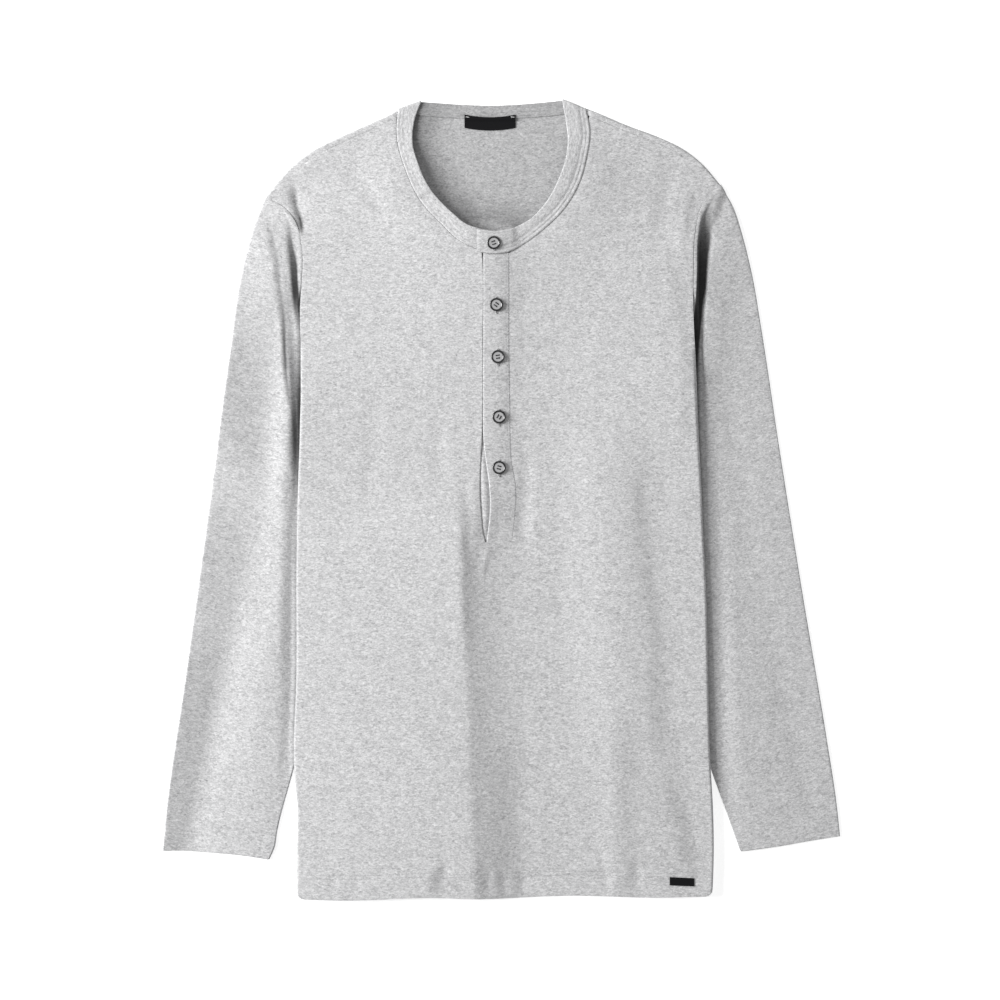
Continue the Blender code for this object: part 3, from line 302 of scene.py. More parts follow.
# ---- Sleeves: outer edge, inner edge from beneath the body down to the cuff, cuff: out, y ----
SLEEVE_OUTER = {
    RIGHT: [(225.0, 286.4), (229.0, 276.5), (236.2, 256.6), (242.6, 235.0), (250.4, 199.0),
            (258.4, 142.0), (265.2, 94.5), (271.2, 47.0), (277.5, -0.5), (290.6, -95.5),
            (304.2, -190.5), (311.4, -238.0), (318.0, -285.5), (322.6, -333.5)],
    LEFT: [(207.5, 298.5), (217.4, 282.0), (227.4, 253.0), (237.2, 215.2), (246.4, 162.0),
           (263.2, 50.8), (285.0, -86.0), (307.8, -222.8), (318.0, -290.0), (321.2, -319.7)],
}
SLEEVE_INNER = {
    RIGHT: [(191.4, 57.0), (190.0, 36.0), (180.4, -2.0), (168.0, -48.0), (163.0, -105.0),
            (176.0, -163.0), (197.6, -256.0), (213.0, -314.0), (216.0, -331.0), (220.9, -342.1)],
    LEFT: [(186.0, 57.0), (184.6, 36.0), (172.0, -2.0), (155.0, -46.0), (149.0, -100.0),
           (164.0, -160.0), (196.7, -251.3), (226.1, -334.4)],
}
SLEEVE_LENGTH = 624.0
# the same line above the underarm, where the back isn't lifted: y, out
SLEEVE_INNER_ABOVE = [(112.0, 192.0), (150.0, 232.0), (190.0, 262.0)]
CUFF = {
    RIGHT: [(322.6, -333.5), (306.4, -333.3), (281.2, -334.9), (248.9, -337.7), (220.9, -342.1)],
    LEFT: [(321.2, -319.7), (290.0, -324.6), (266.0, -328.8), (226.1, -334.4)],
}
# radius of the turned edges, t being 0 at the armhole and 1 at the cuff: t, radius
OUTER_ROLL = {RIGHT: [(0.0, 1.2), (0.1, 1.2), (1.0, 1.2)],
              LEFT: [(0.0, 1.1), (0.1, 0.9), (1.0, 0.8)]}
# soft shade along the outer edge: t, share
OUTER_SHADE = {RIGHT: [(0.0, 0.0), (0.1, 0.0), (0.18, 0.12), (0.26, 0.2), (0.36, 0.18), (0.43, 0.04),
                       (0.5, 0.14), (0.65, 0.18), (0.74, 0.26), (1.0, 0.24)],
               LEFT: [(0.0, 0.0), (1.0, 0.0)]}
OUTER_SHADE_FULL, OUTER_SHADE_EASE = 0.12, 0.2      # shares of the sleeve's width
INNER_ROLL = 1.2
# how far the upper layer stands off: t, height
SLEEVE_PUFF = [(0.0, 1.5), (0.08, 3.4), (0.25, 4.0), (0.5, 3.4), (0.8, 2.2), (1.0, 0.6)]
PUFF_LEAN = 2.0         # power of the share across that leans it to the sleeve's inner side
TUCK_EASE = {RIGHT: 18.0, LEFT: 30.0}   # width over which it does, out from the body's edge
# the hollow beside the body: y, width of its floor, width of the rise beyond, height of its
# floor, height of the crest beyond
HOLLOW = {
    RIGHT: [(-380, 1, 5, 3.1, 0), (0, 1, 4, 3.1, 0), (38, 1, 4, 3.1, 0.8), (69, 1.5, 6, 3.2, 1.6),
            (106, 2, 9, 3.5, 2.2), (148, 3, 11, 4.5, 2.6), (185, 4, 13, 4.9, 2.8),
            (235, 5, 15, 5.0, 2.6), (262, 5, 12, 4.5, 1.4), (286, 1, 6, 3.4, 0)],
    LEFT: [(-380, 1, 11, 3.1, 0), (100, 2, 8, 3.1, 0.6), (143, 2.5, 5, 2.4, 1.6), (171, 4.5, 5, 2.2, 2),
           (217, 9.5, 4, 2.2, 2), (250, 11, 5, 3.4, 2), (271, 8, 8, 5.4, 1), (286, 3, 8, 5.0, 0),
           (298, 1, 6, 3.6, 0)],
}
HOLLOW_CREST_FALL = 44.0    # width over which the crest beside the hollow runs out
# painted shade in the hollow and the valleys beside the body: y, from, to (beyond the body's
# edge), share, softness
HOLLOW_PAINTED_SHADE = {
    RIGHT: (
        [(-380, 0.5, 3, 0.06, 2), (-250, 0.2, 2.6, 0.2, 2), (-209, 0, 2.6, 0.42, 2), (-133, 0, 2.8, 0.4, 2),
         (-57, 0.2, 3.4, 0.36, 2.2), (-0.5, 1, 4.5, 0.4, 2.5), (18.5, -1, 5, 0.5, 3.5),
         (37.5, -1, 8, 0.72, 5), (56.5, -1, 10, 0.8, 5), (66, -1, 10, 0.75, 4),
         (75.5, -1, 10.2, 0.66, 3.5), (85, -1.5, 10.4, 0.52, 3), (94.5, -1.5, 10.6, 0.35, 2.5),
         (104, -1.5, 8, 0.12, 3), (113.5, -1.5, 6, 0.08, 3), (142, -1, 3, 0.3, 2.5),
         (160, -0.5, 3, 0.45, 2.5), (173, -0.2, 4.5, 0.66, 2.5), (189.5, 0.8, 7.6, 0.95, 2),
         (208.5, 3.4, 10.6, 0.95, 2), (227.5, 5.8, 13, 0.85, 2.5), (242, 8, 13.6, 0.74, 3),
         (253, 7.5, 11.5, 0.5, 3), (262, 6, 9, 0.16, 4), (275, 4, 8, 0, 4)],
        [(-380, 10, 14, 0, 3), (80, 8, 10, 0, 2), (94.5, 10.4, 13.2, 0.5, 2),
         (104, 11.6, 15, 0.54, 2.6), (113.5, 12.6, 16.6, 0.58, 3), (123, 13.2, 17.4, 0.74, 3),
         (142, 14, 17.6, 0.86, 2.6), (170.5, 14, 18.5, 0.62, 3), (189.5, 16.5, 21.5, 0.5, 4),
         (208.5, 20.5, 26, 0.46, 4), (227.5, 23, 28, 0.42, 4), (242, 25, 31, 0.34, 4),
         (255, 24, 30, 0.25, 4), (268, 20, 26, 0.05, 4)],
        [(-380, -1, 0, 0, 1.5), (-20, -1, 0.5, 0, 1.5), (-0.5, -1, 2, 0.4, 1.5),
         (18.5, -1, 3.2, 0.72, 1.8), (37.5, -1, 3.2, 0.84, 1.8), (56.5, -12, 3.6, 0.93, 2),
         (66, -12, 4, 0.95, 2.4), (75.5, -12, 4.6, 0.95, 2.4), (85, -12, 4.6, 0.97, 2.4),
         (94.5, -12, 5, 0.94, 2.6), (104, -12, 5, 0.92, 3), (113.5, -12, 4.6, 0.84, 3.2),
         (130, -12, 4.2, 0.7, 3.5), (142, -12, 3.8, 0.62, 3.5), (165, -1, 2.4, 0.5, 2.5),
         (178, -1, 3, 0.9, 2), (190, -1, 3.4, 0.95, 1.5), (200, -1, 1, 0.5, 1.5),
         (208, -1, 0, 0, 1.5), (290, -1, 0, 0, 1.5)],
    ),
    LEFT: (
        [(-380, 0, 1, 0, 1.5), (-133, -0.5, 0.5, 0, 2), (-57, -0.8, 1.2, 0.3, 2), (-0.5, -0.8, 1.6, 0.48, 2),
         (47, -12, 1.8, 0.58, 2), (75, -12, 2.2, 0.66, 2.5), (94, -12, 2.6, 0.76, 2.5),
         (113.5, -12, 3, 0.85, 2.5), (128, -12, 3.6, 0.92, 2), (144, -12, 4.6, 0.97, 1.5),
         (171, -0.2, 8.2, 0.965, 1.2), (189.5, 2.2, 10.6, 0.96, 1), (199, 2.8, 12.6, 0.955, 1),
         (217, 3.3, 13.6, 0.955, 1), (232, 3.2, 14.6, 0.9, 1.2), (244, 2.9, 16, 0.8, 1.5),
         (256, 2.6, 14.5, 0.6, 2), (264, 2.4, 13.5, 0.42, 2.5), (274, 2.2, 11, 0.22, 3), (290, 1, 6, 0, 3)],
        [(150, -1, 3, 0.1, 2), (200, -1, 2.6, 0.18, 2), (230, -1, 3, 0.2, 2), (256, -1, 4, 0.18, 2),
         (272, -1, 5, 0.12, 2.5), (286, -1, 4, 0.08, 2), (298, -1, 3, 0, 2)],
    ),
}
# where the hollow begins beyond the body's edge, and the width over which it falls to its floor
HOLLOW_LIP, HOLLOW_WALL = {RIGHT: 1.0, LEFT: 3.6}, {RIGHT: 4.0, LEFT: 2.2}
LIP_FROM, LIP_EASE = 144.0, 60.0        # y above which the sleeve comes up to the body's edge
TUCK_BELOW, TUCK_LIP = 84.0, 8.0        # y below which it lies low by the edge, width of that
# how far the sleeve's edge reaches in beneath the lifted side of the body, by the underarm, the
# height it lies at there, and the y between which it does
UNDER_REACH, UNDER_HEIGHT = 8.0, 2.1
UNDER_TOP, UNDER_TOP_EASE, UNDER_FOOT_EASE = 131.0, 22.0, 14.0
UNDER_IN_EASE, UNDER_UP_EASE = 2.0, 20.0    # inward from the body's edge, and upward
# soft folds along a sleeve: place across it from 0 (outer) to 1, width, rise, from t, to t
SLEEVE_FOLDS = {
    RIGHT: [(0.0, 0.22, 0.7, 0.10, 1.1), (0.30, 0.16, -0.7, 0.30, 1.0), (0.60, 0.16, 0.5, 0.10, 0.80)],
    LEFT: [(0.24, 0.14, -0.35, 0.20, 0.95), (0.52, 0.18, 0.5, 0.15, 0.62)],
}
SLEEVE_FADE = 0.1       # share of the length over which they fade at their ends
SLEEVE_TURN = math.radians(-9.0)    # how far the knitted rows turn with each sleeve

# ---- The sleeves' lift of the back: height, how far in from their inner edge it is whole, and
# ---- the width over which it ends ----
LIFT, LIFT_START, LIFT_EASE = 5.4, 12.0, 42.0

# ---- Stage, in metres and the lens in millimetres ----
FLOOR_HALF, FLOOR_LEVEL = 6.0, -0.0001
KEY_SIZE = 1.6
LENS, SENSOR = 100.0, 36.0
CAMERA_AT = (-0.0013, 0.0005)

# ---- Density of the grids ----
CURVE_STEPS, EDGE_STEPS = 600, 120
FOLD_STEPS, SHOULDER_STEPS, NECK_STEPS = 16, 40, 60     # points along a line that is measured to
NECK_ROWS, SLOT_ROWS = 60, 92
LOWER_ROWS = 112
BACK_STEP = 5.0
EDGE_COLUMNS = [0.0, 0.5, 1.0, 1.6, 2.4, 3.4, 4.8, 6.6, 8.8]   # millimetres in from an edge
INNER_COLUMNS = [1.2, 0.5, 0.0]     # the last ones, millimetres before the far edge
LAST_ROWS = [3.0, 1.4, 0.5, 0.0]    # millimetres above a hem or cuff
COLUMN_STEP = 3.1
BODY_HALF = 180.0
SLOT_COLUMNS = 12       # across the foot of the slot
SLEEVE_ROWS = [(0.0, 0.04, 26), (0.04, 0.14, 28), (0.14, 1.0, 150)]     # from t, to t, rows
UPPER_COLUMNS, LOWER_COLUMNS, FOLD_RINGS = 66, 28, 6    # of a sleeve's layers and turned edges
BAND_FRONT_STATIONS, BAND_BACK_STATIONS, BAND_TURN_STATIONS = 110, 64, 8
BAND_BLEND = 4          # stations either side over which a value of the band is evened out
BAND_COLUMNS = np.array([0, 0.03, 0.07, 0.12, 0.17, 0.21, 0.26, 0.31, 0.36, 0.41, 0.47, 0.55,
                         0.64, 0.73, 0.82, 0.89, 0.94, 0.98, 1.0])
STRIP_ROWS = 110
STRIP_COLUMNS = np.concatenate(([0, 0.02, 0.05, 0.09], np.linspace(0.13, 0.87, 18),
                                [0.91, 0.95, 0.98, 1.0]))
NECK_LABEL_GRID, HEM_LABEL_GRID = (60, 16), (40, 14)
SHARP_FROM = math.radians(65.0)     # faces that meet at a greater angle are shaded apart
WELD_GRID = 1000        # steps in a millimetre by which points are told apart


# ---------------------------------------------------------------- numbers and curves

def smooth(value):
    """Ease from 0 to 1 while the value goes from 0 to 1: 3 v squared less 2 v cubed."""
    value = np.clip(value, 0.0, 1.0)
    return value * value * (3.0 - 2.0 * value)


def even(count):
    """Shares from 0 to 1 in even steps."""
    return np.linspace(0, 1, count)


def mix(first, second, share):
    """A value between two: the first, and the share of the way on to the second."""
    return first + (second - first) * share


def track(table, key, column):
    """A column of a table read at any key, on a cubic curve through its rows."""
    rows = np.array(table, float)
    rows = rows[np.argsort(rows[:, 0])]
    keys, values = rows[:, 0], rows[:, column]
    slopes = np.gradient(values, keys)
    key = np.clip(key, keys[0], keys[-1])
    low = np.clip(np.searchsorted(keys, key, side="right") - 1, 0, len(keys) - 2)
    span = keys[low + 1] - keys[low]
    u = (key - keys[low]) / span
    start = values[low] * (2 * u**3 - 3 * u**2 + 1) + slopes[low] * span * (u**3 - 2 * u**2 + u)
    end = values[low + 1] * (3 * u**2 - 2 * u**3) + slopes[low + 1] * span * (u**3 - u**2)
    return start + end


def length_along(line):
    """Length along a line of points up to each of them: the sum of the steps between them."""
    return np.concatenate(([0.0], np.cumsum(np.linalg.norm(np.diff(line, axis=0), axis=1))))


def reach_of(line):
    """The same in plan."""
    return length_along(line[:, :2])


def resampled(line, fractions):
    """A line of points read at fractions of its length, without smoothing its corners."""
    length = reach_of(line)
    wanted = np.asarray(fractions, float) * length[-1]
    return np.column_stack([np.interp(wanted, length, line[:, k]) for k in range(line.shape[1])])


def path(points, fractions):
    """Points at fractions of the length of a smooth curve through the given points."""
    points = np.array(points, float)
    table = np.column_stack((reach_of(points), points))
    dense = np.linspace(0.0, table[-1, 0], CURVE_STEPS)
    line = np.column_stack([track(table, dense, 1 + k) for k in range(points.shape[1])])
    return resampled(line, fractions)


def normals_of(line):
    """Unit normals in plan, to the left of the way a line of points runs."""
    along = np.gradient(line[:, :2], axis=0)
    along /= np.linalg.norm(along, axis=1, keepdims=True)
    return np.column_stack((-along[:, 1], along[:, 0]))


def coons(top, bottom, outer, inner, u, v):
    """A grid in plan between four edges: the sum of the two ruled surfaces less the corners' one."""
    u = np.asarray(u)[None, :, None]
    v = np.asarray(v)[:, None, None]
    across = (1 - u) * outer[:, None] + u * inner[:, None]
    down = (1 - v) * top[None] + v * bottom[None]
    corners = ((1 - u) * (1 - v) * top[0] + u * (1 - v) * top[-1]
               + (1 - u) * v * bottom[0] + u * v * bottom[-1])
    return across + down - corners


# ---------------------------------------------------------------- where the cloth lies

def edge_out(side, y):
    """How far out the body's edge is on one side."""
    return track(EDGE[side], y, 1)


def inside_edge(side, x, y):
    """Distance in from the body's edge on one side; negative beyond it."""
    lean = (edge_out(side, y + 1.0) - edge_out(side, y - 1.0)) / 2.0
    return (edge_out(side, y) - side * x) / np.sqrt(1 + lean * lean)


def sleeve_fold_out(side, y):
    """How far out the sleeve's hidden inner edge is; beyond the body's edge above the underarm."""
    rows = SLEEVE_INNER_ABOVE + [(row[1], row[0]) for row in SLEEVE_INNER[side]]
    return track(rows, y, 1)


def back_lift(x, y):
    """How far the back is lifted off the floor by the sleeves folded beneath it."""
    lift = 0.0
    for side in (RIGHT, LEFT):
        inward = sleeve_fold_out(side, y) - side * x
        lift = lift + LIFT * (1 - smooth((inward - LIFT_START) / LIFT_EASE))
    return lift


def armhole_share(y):
    """0 along the side seam and 1 along the armhole."""
    return smooth((y - UNDERARM) / ARMHOLE_EASE)


def roll(side, x, y):
    """How far the rolled side edge turns away from the flat of its panel: a quarter circle."""
    radius = track(EDGE[side], y, 2) / 2
    inside = np.clip(inside_edge(side, x, y), 0.0, radius)
    turn = radius - np.sqrt(radius**2 - (radius - inside)**2)
    return turn * (1 - armhole_share(y))


def back_height(x, y):
    """Middle of the back's wall."""
    lift = back_lift(x, y) * (1 - armhole_share(y))
    return ON_FLOOR + lift + roll(RIGHT, x, y) + roll(LEFT, x, y)


def fold_relief(folds, x, y):
    """Sum of folds, each a bump across a smooth line: (1 - d squared) squared, where d is the
    distance over the fold's width, or (1 - d) squared at a crisp crest, fading at both ends."""
    relief = np.zeros(np.shape(x))
    for points, right, left, rise, crisp, fade in folds:
        line = path(points, even(FOLD_STEPS))
        low = line.min(axis=0) - max(right, left) - fade
        high = line.max(axis=0) + max(right, left) + fade
        near = (x > low[0]) & (x < high[0]) & (y > low[1]) & (y < high[1])
        if not near.any():
            continue
        px, py = x[near], y[near]
        tangent = np.gradient(line, axis=0)
        tangent /= np.linalg.norm(tangent, axis=1, keepdims=True)
        nearest = np.argmin((px[:, None] - line[:, 0])**2 + (py[:, None] - line[:, 1])**2, axis=1)
        dx, dy = px - line[nearest, 0], py - line[nearest, 1]
        tx, ty = tangent[nearest].T
        across = tx * dy - ty * dx
        reach = reach_of(line)
        along = reach[nearest] + tx * dx + ty * dy
        d = np.clip(np.abs(across) / np.where(across < 0, right, left), 0.0, 1.0)
        profile = mix((1 - d * d)**2, (1 - d)**2, crisp)
        ends = smooth((along + fade / 2) / fade) * smooth((reach[-1] - along + fade / 2) / fade)
        relief[near] += rise * profile * ends
    return relief


def below_shoulder(x, y):
    """Distance in plan from the fold of the nearer shoulder."""
    nearest = np.full(np.shape(x), np.inf)
    for side in (RIGHT, LEFT):
        line = path(SHOULDER[side], even(SHOULDER_STEPS))
        gaps = np.hypot(x[..., None] - line[:, 0], y[..., None] - line[:, 1])
        nearest = np.minimum(nearest, gaps.min(axis=-1))
    return nearest


def crease_step(x, y):
    """Extra height beside the sharp crease: a level step, then down as (1 - d) squared."""
    past = np.clip((x - track(CREASE, y, 1)) / CREASE_FALL, 0.0, 1.0)
    return CREASE_STEP * (1 - past)**2 * smooth((CREASE_TOP - y) / CREASE_EASE)


def front_height(x, y):
    """Middle of the front's wall, above whatever lies beneath it. It leaves each side edge as
    5/4 d less 1/4 d to the fifth, where d is the distance in over the width of that."""
    x, y = np.asarray(x, float), np.asarray(y, float)
    ground = ON_FLOOR + back_lift(x, y) * (1 - armhole_share(y))
    edge_ground = ON_FLOOR + LIFT * (1 - armhole_share(y))
    puff = PUFF * mix(HEM_PUFF, 1.0, smooth((y - HEM_PUFF_FROM) / HEM_PUFF_EASE))
    height = ON_FLOOR + AIR + puff + crease_step(x, y) + fold_relief(FRONT_FOLDS, x, y)
    for side in (RIGHT, LEFT):
        share = np.clip(inside_edge(side, x, y) / EDGE_EASE[side], 0.0, 1.0)
        height = mix(edge_ground + track(EDGE[side], y, 2), height, 1.25 * share - 0.25 * share**5)
    height = np.maximum(height, ground + AIR * LEAST_AIR)
    height = height + NECK_RISE * np.exp(-(np.maximum(beyond_neck(x, y), 0.0) / NECK_EASE)**2)
    height = mix(SHOULDER_TOP, height, smooth((below_shoulder(x, y) - SHOULDER_LAP) / SHOULDER_EASE))
    height = height + fold_relief(FRONT_CREASES, x, y)
    return height - roll(RIGHT, x, y) - roll(LEFT, x, y)


def beyond_neck(x, y):
    """Distance out from the neck opening, taken as an ellipse; negative inside it."""
    across, up = (x - NECK_MIDDLE[0]) / NECK_HALF[0], (y - NECK_MIDDLE[1]) / NECK_HALF[1]
    return (np.hypot(across, up) - 1.0) * min(NECK_HALF)


# ---------------------------------------------------------------- meshes

FLIPPED = [0, 3, 2, 1]      # order of a quad's corners that turns it over


def grid_quads(rows, columns, closed=False):
    """Quads between the points of a grid; closed joins its last column to the first."""
    index = np.arange(rows * columns).reshape(rows, columns)
    ahead = np.roll(index, -1, axis=1) if closed else index[:, 1:]
    here = index if closed else index[:, :-1]
    return np.stack((here[:-1], here[1:], ahead[1:], ahead[:-1]), axis=-1).reshape(-1, 4)


class Sheet:
    """A surface gathered from grids of points, joined where their points meet. Each point has
    its own thickness and any named values that a material reads."""

    def __init__(self):
        self.points, self.quads, self.thick, self.values = [], [], [], {}
        self.count = 0

    def grid(self, points, thick, closed=False, **values):
        """Add rows by columns of points; closed joins the last column to the first."""
        rows, columns = points.shape[:2]
        self.points.append(points.reshape(-1, 3))
        self.quads.append(self.count + grid_quads(rows, columns, closed))
        self.thick.append(np.broadcast_to(thick, (rows, columns)).reshape(-1))
        for name, value in values.items():
            self.values.setdefault(name, []).append(value.reshape(rows * columns, -1))
        self.count += rows * columns
        return self

    def joined(self):
        """Points, quads, thickness and values, with points in the same place made one."""
        points = np.concatenate(self.points)
        key = np.round(points * WELD_GRID).astype(np.int64)
        _, first, index = np.unique(key, axis=0, return_index=True, return_inverse=True)
        quads = index.reshape(-1)[np.concatenate(self.quads)]
        values = {name: np.concatenate(value)[first] for name, value in self.values.items()}
        return points[first], quads, np.concatenate(self.thick)[first], values


def point_normals(points, quads):
    """Normals of the points, from the quads round them, weighted by their area."""
    across = np.cross(points[quads[:, 2]] - points[quads[:, 0]], points[quads[:, 3]] - points[quads[:, 1]])
    normals = np.stack([np.bincount(quads.reshape(-1), np.repeat(across[:, k], 4), len(points))
                        for k in range(3)], axis=1)
    return normals / np.linalg.norm(normals, axis=1, keepdims=True)


def rim_of(quads, count):
    """Edges that belong to one quad only, in the direction that quad runs."""
    ends = np.concatenate([quads[:, [k, (k + 1) % 4]] for k in range(4)])
    alone = ~np.isin(ends[:, 0] * count + ends[:, 1], ends[:, 1] * count + ends[:, 0])
    return ends[alone]


def add_piece(name, points, faces, finish, values=None):
    """One object at the origin, from points in millimetres and lists of corners, with its
    material and any named values of its points."""
    mesh = bpy.data.meshes.new(name)
    mesh.from_pydata(((points - (*CENTRE, 0.0)) * MM).tolist(), [], faces)
    for key, value in (values or {}).items():
        kind = "FLOAT_VECTOR" if value.shape[1] == 3 else "FLOAT"
        layer = mesh.attributes.new(key, kind, "POINT")
        layer.data.foreach_set("vector" if kind == "FLOAT_VECTOR" else "value",
                               np.ascontiguousarray(value, np.float32).reshape(-1))
    mesh.update()
    made = bpy.data.objects.new(name, mesh)
    mesh.materials.append(finish)
    mesh.shade_smooth()
    mesh.set_sharp_from_angle(angle=SHARP_FROM)
    bpy.context.scene.collection.objects.link(made)
    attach(made, "root")
    return made


def wall(name, sheet, finish, lit_outside=True):
    """A closed wall about a sheet: each point moved half its thickness either way. The painted
    shade lies on its first face only, or on both."""
    points, quads, thick, values = sheet.joined()
    shift = point_normals(points, quads) * thick[:, None] / 2
    count = len(points)
    rim = rim_of(quads, count)
    edge = np.column_stack((rim[:, 1], rim[:, 0], rim[:, 0] + count, rim[:, 1] + count))
    faces = np.concatenate((quads, quads[:, ::-1] + count, edge))
    both = {key: np.concatenate((value, value * (key != "hollow" or not lit_outside)))
            for key, value in values.items()}
    points = np.concatenate((points + shift, points - shift))
    return add_piece(name, points, faces.tolist(), finish, both)


def rim_taper(distance, width=RIM_ROUND, thin=RIM_THIN):
    """Share of the thickness at a distance from a rim: a quarter ellipse up to the full wall."""
    u = np.clip(distance / width, 0.0, 1.0)
    return mix(thin, 1.0, np.sqrt(1 - (1 - u)**2))


def lift_to(plan, height):
    """A plan grid with heights from a function of x and y."""
    return np.dstack((plan, height(plan[..., 0], plan[..., 1])))


# ---------------------------------------------------------------- body

def columns_for(width, step):
    """Shares across a width: close together by its outer edge, and even up to its inner one."""
    start = np.array(EDGE_COLUMNS)
    end = width - np.array(INNER_COLUMNS)
    middle = np.linspace(start[-1], end[0], max(2, round((end[0] - start[-1]) / step)) + 1)[1:-1]
    return np.concatenate((start, middle, end)) / width


def band_stations(side, count):
    """Seam and free edge of the band in plan: rows of seam x, y and free x, y."""
    return path(BAND[side], even(count))


def slot_edge(side, y):
    """X of the front's edge beside the placket."""
    return track(SLOT, y, 1) if side == RIGHT else track(PLACKET, y, 2) + CLOSE_GAP


def neck_edge(side, seam_end):
    """The front's cut edge round the neck, just clear of the band, from the shoulder seam down."""
    seam = band_stations(side, EDGE_STEPS)[:, :2]
    edge = seam - side * normals_of(seam) * CLOSE_GAP
    corner_x = float(slot_edge(side, SLOT_TOP))
    outside = side * edge[:, 0] > side * corner_x + SLOT_CORNER
    below = edge[:, 1] < seam_end[1] - SLOT_CORNER
    corner_y = np.interp(side * corner_x, side * edge[:, 0], edge[:, 1]) - SLOT_CORNER_GAP
    line = np.concatenate(([seam_end], edge[outside & below][::-1], [(corner_x, corner_y)]))
    return resampled(line, even(NECK_ROWS))


def shoulder_seam(side, inset):
    """Points along a shoulder, set in from its fold, from the armhole to the neck."""
    line = path(SHOULDER[side], even(EDGE_STEPS))
    return line + side * normals_of(line) * inset


def side_line(side, ys):
    """The body's edge in plan at each y."""
    return np.column_stack((side * edge_out(side, ys), ys))


def armhole_line(side, shares):
    """The armhole in plan, from the shoulder tip to the underarm."""
    ys = np.linspace(EDGE[side][-1][0], ARMHOLE_FOOT, CURVE_STEPS)
    return resampled(side_line(side, ys), shares)


def front_upper(side, across):
    """Plan of the front from one shoulder down to the end of the slot, outer edge first."""
    seam = shoulder_seam(side, SHOULDER_LAP + SHOULDER_GAP)
    slot_ys = np.linspace(SLOT_TOP, SLOT_END, SLOT_ROWS)
    slot = np.column_stack((slot_edge(side, slot_ys), slot_ys))
    inner = np.concatenate((neck_edge(side, seam[-1]), slot[1:]))
    ys = np.linspace(EDGE[side][-1][0], SLOT_END, CURVE_STEPS)
    outer = resampled(side_line(side, ys), even(len(inner)))
    outer[0] = seam[0]
    top = resampled(seam, across)
    bottom = mix(outer[-1], inner[-1], across[:, None])
    return coons(top, bottom, outer, inner, across, even(len(inner)))


def lower_body(top_x, top_y, rows):
    """Plan of a panel from a level line down to the hem; its columns keep their share of the
    width, and its last rows lie closer together."""
    width = top_x[-1] - top_x[0]
    share = (top_x - top_x[0]) / width
    hem_y = track(HEM, mix(HEM[0][0], HEM[-1][0], share), 1)
    inside = np.clip(np.minimum(share, 1 - share) * width, 0.0, HEM_CORNER)
    hem_y = hem_y + HEM_CORNER - np.sqrt(HEM_CORNER**2 - (HEM_CORNER - inside)**2)
    last = 1 - np.array(LAST_ROWS) / LOWER_LENGTH
    down = np.append(np.linspace(0, last[0], rows - 2), last[1:])[:, None]
    y = mix(top_y, hem_y[None], down)
    plan = np.dstack((mix(-edge_out(RIGHT, y), edge_out(LEFT, y), share[None]), y))
    plan[0, :, 0] = top_x
    return plan


def seam_clearance(points, direction):
    """Draw the side seam's edge back by half the seam gap: up on the front, down on the back."""
    share = 1 - armhole_share(points[:, (0, -1), 1])
    points[:, (0, -1), 2] += direction * SEAM_GAP * share
    points[:, (0, -1), 0] += np.array([1.0, -1.0]) * SEAM_GAP / 2 * (1 - share)
    return points


def seam_sink(distance, depth, width=SINK_WIDTH):
    """How far cloth sinks beside a seam it is sewn into: a bell of the distance from it."""
    return -depth * np.exp(-(distance / width)**2)


def plan_gap(plan, edge):
    """Distance in plan of each point of a grid from the matching point of an edge."""
    return np.hypot(*np.moveaxis(plan - edge, 2, 0))


def front_sheet():
    """Front: two halves either side of the placket's slot, and the rest below it."""
    across = columns_for(BODY_HALF, COLUMN_STEP)
    right, left = front_upper(RIGHT, across), front_upper(LEFT, across)
    left = left[:, ::-1]
    middle = np.linspace(right[-1, -1, 0], left[-1, 0, 0], SLOT_COLUMNS)[1:-1]
    top_x = np.concatenate((right[-1, :, 0], middle, left[-1, :, 0]))
    lower = lower_body(top_x, SLOT_END, LOWER_ROWS)
    sheet = Sheet()
    for side, plan, edge in ((RIGHT, right, 0), (LEFT, left, -1)):
        points, y = lift_to(plan, front_height), plan[..., 1]
        inner, outer = (plan_gap(plan, plan[:, column, None]) for column in (-1 - edge, edge))
        neck = seam_sink(inner, NECK_SINK[side]) * (y > SLOT_TOP)
        points[..., 2] += neck + seam_sink(plan_gap(plan, plan[:1]), SHOULDER_SINK)
        points[..., 2] += seam_sink(outer, ARMHOLE_SINK) * armhole_share(y)
        if side == RIGHT:
            gape = smooth((GAPE_FROM - y) / GAPE_EASE)
            curl = seam_sink(inner, mix(*SLOT_CURL, gape), SLOT_CURL_WIDTH)
            thick = WALL * rim_taper(inner)
        else:
            curl = seam_sink(inner, PLACKET_SINK)
            thick = np.full(inner.shape, WALL)
        points[..., 2] += curl * ((y < SLOT_TOP) * smooth((y - SLOT_END) / SLOT_CURL_EASE))
        points[:, edge] = seam_clearance(points.copy(), 1)[:, edge]
        thick = np.where(y < SLOT_END + SLOT_RIM_END, WALL, thick)
        sheet.grid(points, thick, hollow=front_shade(plan))
    points = seam_clearance(lift_to(lower, front_height), 1)
    hem = np.abs(lower[..., 1] - lower[-1:, :, 1])
    sheet.grid(points, WALL * rim_taper(hem), hollow=front_shade(lower))
    return sheet


def front_shade(plan):
    """Soft shade of the front: in its creases and valleys and along its lit edge."""
    x, y = plan[..., 0], plan[..., 1]
    edge = 1 - smooth(inside_edge(RIGHT, x, y) / EDGE_SHADE_EASE)
    return fold_relief(FRONT_SHADES, x, y) + EDGE_SHADE * edge * (1 - armhole_share(y))


